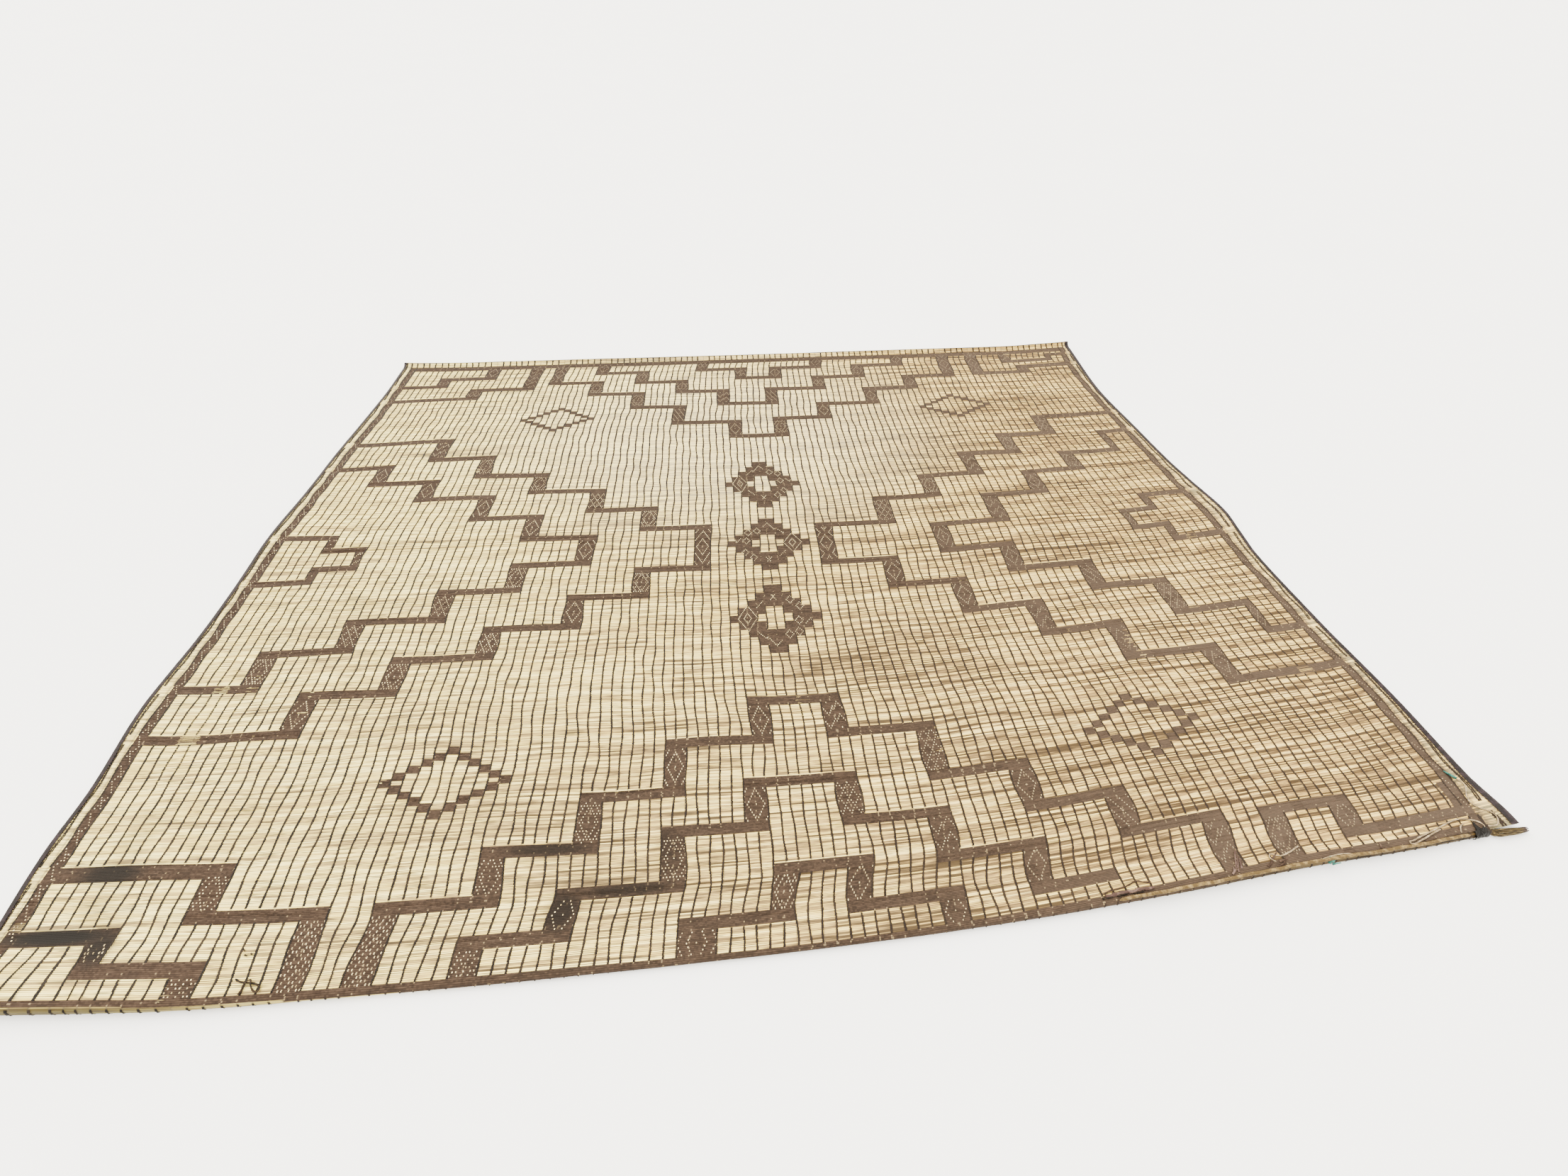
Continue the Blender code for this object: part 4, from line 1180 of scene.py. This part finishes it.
def barReach(row):
    # reeds of a bar below and above its row
    return (4, 4) if row < 480 else (5, 4)


def addBar(fromColumn, toColumn, row):
    down, up = barReach(row)
    addLeather(min(fromColumn, toColumn), max(fromColumn, toColumn), row - down, row + up, 2)


def addSteppedBand(start, steps, end):
    column, row = start
    hasBar = column is not None
    row = reedRow(min(column, steps[0][0]) if hasBar else steps[0][0], row)
    for k, (first, width, untilRow) in enumerate(steps):
        nextColumn = steps[k + 1][0] if k + 1 < len(steps) else first if end is None else end
        untilRow = reedRow(min(first, nextColumn), untilRow)
        if hasBar and k == 0:
            addBar(column, first + width if column <= first else first, row)
        low, high = min(row, untilRow), max(row, untilRow)
        if low > 0 and (hasBar or low != row):
            low += barReach(low)[1]
        if high < weave["rows"] and (hasBar or high != row):
            high -= barReach(high)[0]
        addLeather(first, first + width, low, high)
        risers.append((first, width, low, high))
        if k + 1 < len(steps):
            after, afterWidth, _ = steps[k + 1]
            addBar(min(first, after), max(first + width, after + afterWidth), untilRow)
        elif end is not None:
            addBar(min(first, end), max(first + width, end), untilRow)
        row, hasBar = untilRow, True


def addSmallDiamond(firstColumn, fromRow, perCell):
    edges = [reedRow(firstColumn + 5.5, fromRow + perCell * k) for k in range(12)]
    over = leather["cellOverlap"]
    for i in range(-5, 6):
        for j in (abs(i) - 5, 5 - abs(i)) if abs(i) < 5 else (0,):
            addLeather(firstColumn + i + 5, firstColumn + i + 6, edges[j + 5] - over,
                       edges[j + 6] + over)


def addMedallion(middle, low, high):
    edges = [reedRow(middle, low + (high - low) * k / 9) for k in range(10)]
    for (half, hole), *rows in zip(medallionBands, edges, edges[1:]):
        if hole:
            addLeather(middle - half, middle - hole, *rows)
            addLeather(middle + hole, middle + half, *rows)
        else:
            addLeather(middle - half, middle + half, *rows)


def makeLeatherPatterns():
    for band in steppedBands:
        addSteppedBand(*band)
    for diamond in smallDiamonds:
        addSmallDiamond(*diamond)
    for medallion in medallions:
        addMedallion(*medallion)
    side, columns = weave["sideBandColumns"], weave["columns"]
    for low in range(0, weave["rows"], leather["sideBlock"]):
        addLeather(-side, 0, low, low + leather["sideBlock"])
        addLeather(columns, columns + side, low, low + leather["sideBlock"])
    slitWidth, *slitRows = leather["slit"]
    addLeather(columns - slitWidth, columns, *slitRows, 4)
    for toColumn, atRow, deeper in deeperBars:
        below = reedRow(0, atRow) - barReach(atRow)[0]
        addLeather(0, toColumn, below - deeper, below, 2)
    near, far = leatherPots[0], leatherPots[-1]
    for fromColumn, toColumn, depth in nearBandDepths:
        addLeather(max(fromColumn, -side), min(toColumn, notchColumn), -depth, 0, pot=near)
    addLeather(notchColumn, columns + side, notchRow, 0, 3, pot=near)
    addLeather(-side, columns + side, weave["farBandFrom"], weave["rows"] + bandRows, pot=far)


makeLeatherPatterns()
leatherPieces = [finishPiece(f"woven_leather_{k + 1}", spreadBake(pot), materials["woven"],
                             smoothAngle=70, woven=True)
                 for k, pot in enumerate(leatherPots)]
print("woven leather made,", len(risers), "risers")


def pyramidFaces(count):
    # closed four-sided pyramids of five points each, the tip last
    faces = []
    for s in range(0, 5 * count, 5):
        faces += ((s, s + 1, s + 4), (s + 1, s + 2, s + 4), (s + 2, s + 3, s + 4),
                  (s + 3, s, s + 4), (s + 3, s + 2, s + 1, s))
    return faces


def makePyramids(u, v, halfU, halfV, slant, baseLift, topLift):
    # one pyramid for each place; each has its own cell in the bake map
    count = len(u)
    corners = [onMat(u + halfU * a + slant * b, v + halfV * b, baseLift)
               for a, b in ((-1, -1), (1, -1), (1, 1), (-1, 1))]
    points = np.stack((*corners, onMat(u, v, topLift)), axis=1)
    side = math.ceil(math.sqrt(count))
    cellX, cellY = np.arange(count) % side, np.arange(count) // side
    ids = np.array((0, 1, 4, 1, 2, 4, 2, 3, 4, 3, 0, 4, 3, 2, 1, 0))
    localX = np.array((0.1, 0.9, 0.9, 0.1, 0.5))[ids]
    localY = np.array((0.1, 0.1, 0.7, 0.7, 0.4))[ids]
    localY[12:] = (0.93, 0.93, 0.8, 0.8)
    bake = np.stack(((cellX[:, None] + localX) / side, (cellY[:, None] + localY) / side), -1)
    weaveMap = np.stack(np.broadcast_arrays(u[:, None], v[:, None] + 0 * localX), -1)
    pot = newPot()
    pour(pot, points, pyramidFaces(count), weaveMap, bake)
    return pot


# warp thongs: a small pyramid of leather on every second reed where a thong shows
warpThongs = {
    "halfWidth": 0.082,    # columns
    "unevenWidth": 0.18,
    "widerFar": 0.3,       # how much wider towards the far edge, from a row over some rows
    "widerFrom": 350,
    "widerOver": 300,
    "narrow": 0.55,        # of the two outermost thongs at each side
    "outer": (-1.60, -1.50),
    "outerRight": (112.40, 112.50),
    "rowsPerStitch": 2,
    "halfRows": 0.98,
    "slant": 0.010,
    "base": 0.0020,
    "top": 0.0037,
    "onLeather": 0.00055,  # higher over a leather patch
    "wander": 0.07,
    "jitter": 0.012,
    "pieces": 3,
}


def makeWarpThongs():
    columns, rows, side = weave["columns"], weave["rows"], weave["sideBandColumns"]
    every = warpThongs["rowsPerStitch"]
    numbers = np.concatenate(((*warpThongs["outer"], -side), np.arange(0, columns + 1),
                              (columns + side, *warpThongs["outerRight"]))).astype(float)
    pieces = []
    for k, group in enumerate(np.array_split(numbers, warpThongs["pieces"])):
        places = []
        for number in group:
            low = notchRow if number > notchColumn else -endRows
            count = int((rows + endRows - low) / every)
            places.append(np.column_stack((np.full(count, number),
                                           low + (np.arange(count) + 0.5) * every)))
        u, v = np.concatenate(places).T
        cellRow = np.clip(v.astype(int), 0, rows - 1)
        onLeft, onRight = (leatherCells[cellRow, np.clip(cell.astype(int), 0, columns - 1)]
                           for cell in (np.ceil(u) - 1, np.floor(u)))
        onFarBand = (v > weave["farBandFrom"]) & (v < rows + bandRows)
        onLeather = onLeft | onRight | (v < 0) & (v > -bandRows) | onFarBand
        underBands = (u > 0) & (u < columns) & ((v > -4) & (v < 0) | onFarBand)
        shown = ~(onLeft & onRight) & ~underBands
        u, v, onLeather = u[shown], v[shown], onLeather[shown]
        jitter = rng.uniform(-1, 1, (2, len(u)))
        wider = smoothStep((v - warpThongs["widerFrom"]) / warpThongs["widerOver"])
        width = warpThongs["halfWidth"] * (1 + warpThongs["unevenWidth"] * jitter[0])
        width = width * (1 + warpThongs["widerFar"] * wider)
        width = width * np.where((u < -1) | (u > columns + 1), warpThongs["narrow"], 1.0)
        wander = np.sin(0.17 * v + 1.7 * u) * (0.6 + 0.4 * np.sin(0.031 * v + 0.9 * u))
        pot = makePyramids(
            u + warpThongs["wander"] * wander + warpThongs["jitter"] * jitter[1], v, width,
            warpThongs["halfRows"], warpThongs["slant"], warpThongs["base"],
            warpThongs["top"] + warpThongs["onLeather"] * onLeather)
        pieces.append(finishPiece(f"warp_thongs_{k + 1}", pot, materials["warp"],
                                  smoothAngle=80, woven=True))
    return pieces


warpPieces = makeWarpThongs()
print("warp thongs made")

# pale stitches on the risers, side bands and medallions, on a staggered lattice
stitches = {"perColumn": 4, "rows": 2, "halfWidth": 0.042, "halfRows": 0.55, "base": 0.0016,
            "top": 0.0038, "sidePerColumn": 4.6}
riserKinds = ("diamonds", "diamonds", "zigzag", "lattice", "large", "diamonds", "slants")
medallionLines = (  # columns from the middle and bands down
    ((-4.05, 4.5), (-3.0, 2.8), (-1.95, 4.5), (-3.0, 6.2), (-4.05, 4.5)),
    ((-2.0, 2.7), (-1.2, 1.9), (-0.9, 2.0), (-0.1, 0.9), (0.6, 1.7)),
    ((0.9, 2.3), (1.3, 1.8), (1.75, 2.3), (1.3, 2.8), (0.9, 2.3)),
    ((2.0, 2.6), (2.4, 2.1), (2.85, 2.6), (2.4, 3.1), (2.0, 2.6)),
    ((2.2, 4.0), (2.6, 3.5), (3.05, 4.0), (2.6, 4.5), (2.2, 4.0)),
    ((2.4, 5.9), (2.8, 5.4), (3.25, 5.9), (2.8, 6.4), (2.4, 5.9)),
    ((1.4, 6.8), (1.8, 6.3), (2.25, 6.8), (1.8, 7.3), (1.4, 6.8)),
    ((3.3, 3.6), (3.8, 4.2), (4.1, 3.6)),
    ((-0.3, 6.9), (0.3, 7.7)), ((0.3, 6.9), (-0.3, 7.7)),
    ((-2.0, 5.9), (-1.1, 6.9)), ((-2.6, 4.5), (-3.0, 3.8), (-3.4, 4.5), (-3.0, 5.2), (-2.6, 4.5)),
)


def stitchShown(kind, x, j):
    # x: stitches from the middle line, j: steps up the riser; x + j / 2 is whole on the lattice
    up, down = round(x + j / 2), round(x - j / 2)
    if kind == "diamonds":
        return round(abs(x) + abs((j + 8) % 16 - 8) / 2) % 3 == 0
    if kind == "chevrons":
        return round(abs(x) + abs(j) / 2) % 3 == 0
    if kind == "lattice":
        return up % 3 == 0 or down % 3 == 0
    if kind == "zigzag":
        return round(abs(x - 2) + j / 2 if x > 0 else abs(x + 2) - j / 2) % 3 == 0
    if kind == "dense":
        return (up + 2 * down) % 5 < 3
    if kind == "large":
        return max(abs(up), abs(down)) % 5 in (0, 3) or (up % 2 == 0 and j % 3 == 0)
    return up % 3 == 0


def riserStitches():
    places = []
    for first, width, low, high in risers:
        kind = riserKinds[int(rng.integers(len(riserKinds)))]
        if high - low < 6:
            continue
        if (first, width) == (48, 2) or (first == 53 and low > 90):
            kind = "chevrons"
        elif high < 110 and first < 32:
            kind = "dense" if low < 10 else "large"
        half = width * stitches["perColumn"] / 2
        steps = int((high - low) / stitches["rows"] / 2)
        for j in range(-steps, steps + 1):
            xs = np.arange(-half, half + 0.1, 0.5)
            for x in xs[(np.abs(xs) < half - 0.3) & (np.round(2 * xs + j) % 2 == 0)]:
                if stitchShown(kind, float(x), j):
                    places.append((first + width / 2 + x / stitches["perColumn"],
                                   (low + high) / 2 + j * stitches["rows"]))
    return places


def sideStitches():
    # crossing slants at the left, sparse slanting dashes at the right
    places = []
    middle = weave["sideBandColumns"] / 2
    for j in range(1, weave["rows"] // stitches["rows"]):
        for x in (-1.0, -0.5, 0.0, 0.5, 1.0):
            up, down = round(x + j / 2), round(x - j / 2)
            onLattice, offset = (2 * x + j) % 2 == 0, x / stitches["sidePerColumn"]
            if onLattice and (up % 3 == 0 or down % 5 == 0):
                places.append((-middle + offset, j * stitches["rows"]))
            if onLattice and up % 4 == 0:
                places.append((weave["columns"] + middle + offset, j * stitches["rows"]))
    return places


def medallionStitches():
    # the second medallion is mirrored sideways and the third upside down
    places = []
    for number, (middle, low, high) in enumerate(medallions):
        bandHeight = (high - low) / 9
        high = high - float(rowShift(np.array(float(middle)), np.array(float(high))))
        mirrorX = -1 if number == 1 else 1
        for line in medallionLines:
            line = [(mirrorX * x, 9 - y if number == 2 else y) for x, y in line]
            for (x0, y0), (x1, y1) in zip(line, line[1:]):
                rows = abs(y1 - y0) * bandHeight
                steps = max(2, int(max(rows / 1.6, abs(x1 - x0) * 5) + 0.5))
                for k in range(steps):
                    share = k / steps
                    places.append((middle + x0 + (x1 - x0) * share,
                                   high - (y0 + (y1 - y0) * share) * bandHeight))
    return places


dots = np.array(riserStitches() + sideStitches() + medallionStitches())
dotPot = makePyramids(dots[:, 0], dots[:, 1], stitches["halfWidth"], stitches["halfRows"], 0.0,
                      stitches["base"], stitches["top"])
dotPiece = finishPiece("pale_stitches", dotPot, materials["stitch"], smoothAngle=80,
                       woven=True)
print("pale stitches made,", len(dots))

# folded leather along the sides, sewn with a thong
binding = {
    "top": 0.0043,
    "innerTop": 0.0030,
    "bottom": -0.0040,
    "innerBottom": -0.0024,
    "bulge": 0.0032,
    "wobble": 0.00018,
    "lean": 0.0006,
    "stitchEvery": 2.4,   # rows
    "stitchLift": 0.0032,
    "stitchUneven": 0.0006,
}
legWidths = {  # width of the leather on top of the mat: row, m
    "left_binding": ((0, 0.010), (768, 0.010)),
    "right_binding": ((0, 0.023), (40, 0.018), (130, 0.014), (300, 0.012), (768, 0.016)),
}
stitchShape = (  # outwards, along and up: the four feet of a stitch, then its tip
    (-0.0032, -0.0008, -0.0010), (0.0032, -0.0002, 0), (0.0032, 0.0012, 0),
    (-0.0032, 0.0006, -0.0010), (0.0, 0.0003, 0.0017),
)


def bindingSection():
    # share of the leg inwards, distance outwards and height of each corner of the section
    top, bottom, bulge = binding["top"], binding["bottom"], binding["bulge"]
    innerTop, innerBottom = binding["innerTop"], binding["innerBottom"]
    return np.array((
        (1.0, 0.0, top - 0.0003), (0.5, 0.0, top), (0.0, 0.0, top - 0.0002),
        (0.0, bulge * 0.62, top * 0.74), (0.0, bulge * 0.95, top * 0.32), (0.0, bulge, 0.0),
        (0.0, bulge * 0.93, bottom * 0.36), (0.0, bulge * 0.6, bottom * 0.76), (0.0, 0.0, bottom),
        (0.4, 0.0, bottom), (0.4, 0.0, innerBottom), (0.0, 0.0003, innerBottom),
        (0.0, 0.0003, innerTop), (1.0, 0.0, innerTop),
    ))


def edgeFrames(column, inward, rows):
    # places along the mat's outer edge, with the upright and the outward direction there
    u = np.full(len(rows), column)
    place = matPlace(u, rows)
    outward = place - matPlace(u + inward * 0.2, rows)
    outward /= np.linalg.norm(outward, axis=1, keepdims=True)
    return place, place - onMat(u, rows, -1.0), outward


def makeBinding(name, column, inward, rows):
    section = bindingSection()
    place, upright, outward = edgeFrames(column, inward, rows)
    wobble = rng.uniform(-1, 1, (len(rows), len(section), 2)) * binding["wobble"]
    wobble[:, 8:] = 0
    legs = np.interp(rows, *zip(*legWidths[name]))
    sections = np.stack((section[:, 1] - legs[:, None] * section[:, 0],
                         np.broadcast_to(section[:, 2], (len(rows), len(section)))), -1) + wobble
    sections[:, :2, 0] += binding["lean"] * np.sin(rows * 0.21 + column)[:, None]
    pot = addSweep(place, sections, frames=(outward, upright))
    piece = finishPiece("folded_" + name, pot, materials["binding"], name, 50)
    # thong stitches along the inner edge of the leather
    rows = np.arange(max(rows[0], -6) + 1.5, rows[-1] - 1, binding["stitchEvery"])
    place, upright, outward = edgeFrames(column, inward, rows)
    along = np.cross(upright, outward)
    uneven = binding["stitchUneven"]
    points = []
    for k, row in enumerate(rows):
        leg = np.interp(row, *zip(*legWidths[name])) + rng.uniform(-uneven, uneven)
        centre = place[k] - outward[k] * leg + upright[k] * binding["stitchLift"]
        points += [centre + outward[k] * out + along[k] * way + upright[k] * up
                   for out, way, up in stitchShape]
    faces, pot = pyramidFaces(len(rows)), newPot()
    blank = np.zeros((16 * len(rows), 2))  # corners of a pyramid's faces
    pour(pot, points, faces, blank, blank)
    return [piece, finishPiece(name + "_stitches", pot, materials["brown"],
                               smoothAngle=80)]


fieldRows = np.linspace(0, weave["rows"], 241)
farRows = np.linspace(weave["rows"], weave["rows"] + endRows, 14)[1:]
leftRows = np.concatenate((np.linspace(-endRows, 0, 25)[:-1], fieldRows, farRows))
rightRows = np.concatenate((np.linspace(notchRow, 0, 5)[:-1], fieldRows, farRows))
bindingPieces = (makeBinding("left_binding", -weave["marginColumns"], 1, leftRows)
                 + makeBinding("right_binding", edgeColumn, -1, rightRows))
print("bindings made")

# wound cord along the near edge
edgeCord = {
    "radius": 0.0045, "startX": 0.755, "endX": 1.790, "angle": 14, "clearance": 0.0012,
    "wind": 0.0062, "ridge": 0.00045, "core": 0.0004, "taper": 0.012, "steps": 410, "sides": 10,
}


def makeEdgeCord():
    sides, angle = edgeCord["sides"], math.radians(edgeCord["angle"])
    x = np.linspace(edgeCord["startX"], edgeCord["endX"], edgeCord["steps"] + 1)
    line, radius = foldLine(x), readTable(nearEdge, x, 3)
    reach = radius + sheet["thickness"] / 2 + edgeCord["clearance"] + edgeCord["radius"]
    path = np.column_stack((x, line - reach * math.sin(angle) + ripple("cord", x, 0),
                            middleHeight(x, line) - radius + reach * math.cos(angle)))
    turn = x[:, None] / edgeCord["wind"] - np.arange(sides) / sides
    thick = edgeCord["radius"] - edgeCord["core"] + edgeCord["ridge"] * np.cos(2 * np.pi * turn)
    fromEnd = np.minimum(x - x[0], x[-1] - x)[:, None]
    thick = thick * (1 - 0.75 * smoothStep(1 - fromEnd / edgeCord["taper"]) ** 2)
    pot = addSweep(path, ellipse(1, 1, sides) * thick[..., None])
    return finishPiece("wound_edge_cord", pot, materials["olive"], "edge_cord")


cordPiece = makeEdgeCord()

# gathered reeds at the near right corner
bundle = {
    "inset": 0.050, "reach": 0.134, "lane": -0.0060, "sway": 0.003, "collar": 0.0015,
    "collarRadius": 0.0058, "floorGap": 0.0004, "reedRadius": 0.0017, "reeds": 17,
    "skin": 0.0002, "twist": 16,  # radians for each metre
    "outline": ((0.14, 0.0102), (0.32, 0.0108), (0.60, 0.0096), (0.82, 0.0078), (0.95, 0.0064),
                (1.00, 0.0050)),  # share of its reach, radius
}


def makeBundle():
    stations = []
    for along in (-bundle["inset"], bundle["collar"]):
        x = turnEndX + along
        line = float(foldLine(x))
        height = float(middleHeight(x, line) - readTable(nearEdge, x, 3))
        stations.append((x, line, height, bundle["collarRadius"]))
    lane = float(foldLine(turnEndX)) + bundle["lane"]
    for share, radius in bundle["outline"]:
        stations.append((turnEndX + bundle["reach"] * share,
                         lane - bundle["sway"] * math.sin(math.pi * share),
                         radius + bundle["floorGap"], radius))
    table = np.array(stations)
    pot = newPot()
    for k in range(bundle["reeds"]):
        # reeds packed in rings, each a little twisted, cut at its own length
        ring = 0.0 if k == 0 else 0.5 if k < 6 else 1.0
        end = turnEndX + bundle["reach"] * rng.uniform(0.80, 1.0)
        x = np.linspace(turnEndX - bundle["inset"], end, 26)
        radius = ring * (readTable(table, x, 3) - bundle["reedRadius"] - bundle["skin"])
        turn = 2.4 * k + bundle["twist"] * (x - turnEndX)
        path = np.column_stack((x, readTable(table, x, 1) + radius * np.cos(turn),
                                readTable(table, x, 2) + radius * np.sin(turn)))
        thick = bundle["reedRadius"] * np.linspace(1, 0.85, len(x))[:, None, None]
        addSweep(path, ellipse(1, 1, 6) * thick, pot)
    return finishPiece("gathered_reed_ends", pot, materials["reedEnds"], "reed_bundle", 40)


bundlePiece = makeBundle()

# torn black scrap round the near right corner: its left part ends low, and one corner reaches up
patch = {
    "width": 0.044, "fromEnd": 0.006, "thickness": 0.0013, "flat": 0.022, "lift": 0.0045,
    "across": 20, "along": 22, "crease": 0.0009, "roundTurn": 5 / 8,
}


def makePatch():
    piece, s, t = addGrid("black_corner_scrap", patch["across"], patch["along"])
    x = turnEndX - patch["fromEnd"] - patch["width"] * (1 - s)
    numbers = np.linspace(100, 112, 400)
    u = np.interp(x, acrossPlace(numbers, np.full(400, sheet["nearRowY"])), numbers)
    onTop, radius = readTable(nearEdge, x, 2), readTable(nearEdge, x, 3)
    deep = onTop + radius * np.pi * patch["roundTurn"]
    edge = 0.0022 * np.sin(s * 9 + 1) * (t > 0.97) + 0.0016 * np.sin(s * 14) * (t < 0.03)
    corner = np.exp(-((s - 0.42) / 0.11) ** 2)
    reach = patch["flat"] * (0.18 + 0.82 * corner + 0.35 * smoothStep(s * 2 - 1))
    distance = deep + (onTop - reach - deep) * t + edge
    crease = patch["crease"] * np.abs(np.sin(s * 11 + 2.5 * np.sin(t * 5))) + ripple("scrap", s, t)
    lift = patch["lift"] + np.maximum(crease, -0.0002)
    piece.data.vertices.foreach_set("co", onMat(u, -distance / weave["pitch"], lift).ravel())
    thicken(piece, patch["thickness"], 0, False, 50, materials["scrap"])
    return declare(piece, "corner_patch")


patchPiece = makePatch()
print("edge pieces made")

# short ends of thong, thread and reed along the near edge: the material, the slot, half width,
# half height, then each end's x, y and the x, y that it runs to
shortEnds = {
    "short_thong_ends": ("brown", "brown_leather", 0.0028, 0.0012, (
        (1.183, -1.454, 1.208, -1.4375), (1.206, -1.4385, 1.229, -1.423),
        (1.199, -1.4455, 1.216, -1.434), (1.206, -1.462, 1.221, -1.4545),
        (1.218, -1.456, 1.236, -1.445), (1.222, -1.446, 1.247, -1.440),
        (1.52, -1.444, 1.524, -1.428), (1.528, -1.445, 1.545, -1.447),
    )),
    "stub_thong_ends": ("pink", "brown_leather", 0.0026, 0.0012, (
        (1.098, -1.459, 1.108, -1.440), (1.107, -1.441, 1.118, -1.421),
        (1.111, -1.452, 1.121, -1.428), (1.078, -1.462, 1.090, -1.447),
    )),
    "tail_knot": ("pink", "brown_leather", 0.0048, 0.0032, (
        (0.726, -1.4775, 0.751, -1.475), (0.745, -1.4755, 0.772, -1.473),
        (0.765, -1.474, 0.792, -1.472), (0.787, -1.473, 0.814, -1.471),
        (0.809, -1.472, 0.836, -1.4705), (0.832, -1.471, 0.858, -1.470),
    )),
    "dark_knot_ends": ("dark", "black_leather", 0.0030, 0.0026, (
        (0.716, -1.482, 0.742, -1.480), (0.756, -1.480, 0.782, -1.478),
        (0.800, -1.478, 0.826, -1.476),
    )),
    "teal_thread_ends": ("teal", "teal_thread", 0.0024, 0.0022, (
        (1.346, -1.454, 1.368, -1.459), (1.350, -1.461, 1.373, -1.455),
        (1.352, -1.465, 1.363, -1.449), (1.357, -1.467, 1.380, -1.466),
        (1.361, -1.463, 1.373, -1.449),
    )),
    "loose_reed_end": ("reedEnds", "reed", 0.0015, 0.0012, (
        (0.905, -1.483, 0.932, -1.479), (0.930, -1.4795, 0.957, -1.4755),
    )),
    "tiny_dark_ends": ("dark", "black_leather", 0.0018, 0.0012, (
        (-1.318, -1.386, -1.308, -1.389), (-1.306, -1.384, -1.300, -1.387),
        (-1.330, -1.372, -1.322, -1.378), (1.40, -1.452, 1.409, -1.444),
    )),
}
shortFacts = {
    "bend": 0.0018,  # most that an end bends sideways
    "lift": 0.0036,  # over the middle layer
    "rise": 0.0030,  # most that its far end lies higher
    "taper": 0.5,
}


def makeShortEnds(name, look, slot, halfWidth, halfHeight, ends):
    pot = newPot()
    share = np.linspace(0, 1, 8)
    for x0, y0, x1, y1 in ends:
        bend = shortFacts["bend"] * np.sin(np.pi * share) * rng.uniform(-1, 1)
        x, y = x0 + (x1 - x0) * share + bend, y0 + (y1 - y0) * share - bend
        lift = shortFacts["lift"] + shortFacts["rise"] * share * rng.uniform(0.3, 1.0)
        path = np.column_stack((x, y, middleHeight(x, y) + lift))
        thin = (1 - shortFacts["taper"] * share)[:, None, None]
        addSweep(path, ellipse(halfWidth, halfHeight, 8) * thin, pot)
    return finishPiece(name, pot, materials[look])


shortPieces = [makeShortEnds(name, *facts) for name, facts in shortEnds.items()]
print("short ends made")

# pale floor, a low wide sun and a bright even sky, both slightly warm, as through thin cloud
stage = {
    "floorSize": 400, "floorZ": -0.0006, "floorColours": ("#eef1f8", "#f2f5fc"),
    "sunFrom": (1.9, -2.4, -3.2), "sunStrength": 7.4, "sunSpread": 50,
    "sunColour": (1.0, 0.93, 0.80), "skyColour": (1.0, 0.94, 0.80, 1.0), "skyStrength": 4.7,
}


def makeStage():
    bpy.ops.object.select_all(action="DESELECT")
    bpy.ops.mesh.primitive_plane_add(size=stage["floorSize"], location=(0, 0, stage["floorZ"]))
    floor = bpy.context.active_object
    floor.name = "floor"
    material, tree = startMaterial("palePlaster", 0.9)
    place = addNode(tree, "TexCoord", output="Object")
    cloud = addNode(tree, "TexNoise", {"Vector": place, "Scale": 0.8, "Detail": 2.0})
    dark, light = stage["floorColours"]
    finishMaterial(material, addNode(tree, "Mix", {0: cloud, 6: dark, 7: light}, **mixing))
    floor.data.materials.append(material)
    data = bpy.data.lights.new("softSun", "SUN")
    data.energy, data.color = stage["sunStrength"], stage["sunColour"]
    data.angle = math.radians(stage["sunSpread"])
    light = bpy.data.objects.new("softSun", data)
    light.rotation_euler = Vector(stage["sunFrom"]).to_track_quat("-Z", "Y").to_euler()
    bpy.context.scene.collection.objects.link(light)
    world = bpy.data.worlds.new("softDay")
    world.use_nodes = True
    colour, strength = world.node_tree.nodes["Background"].inputs[:2]
    colour.default_value, strength.default_value = stage["skyColour"], stage["skyStrength"]
    bpy.context.scene.world = world


makeStage()
print("done")
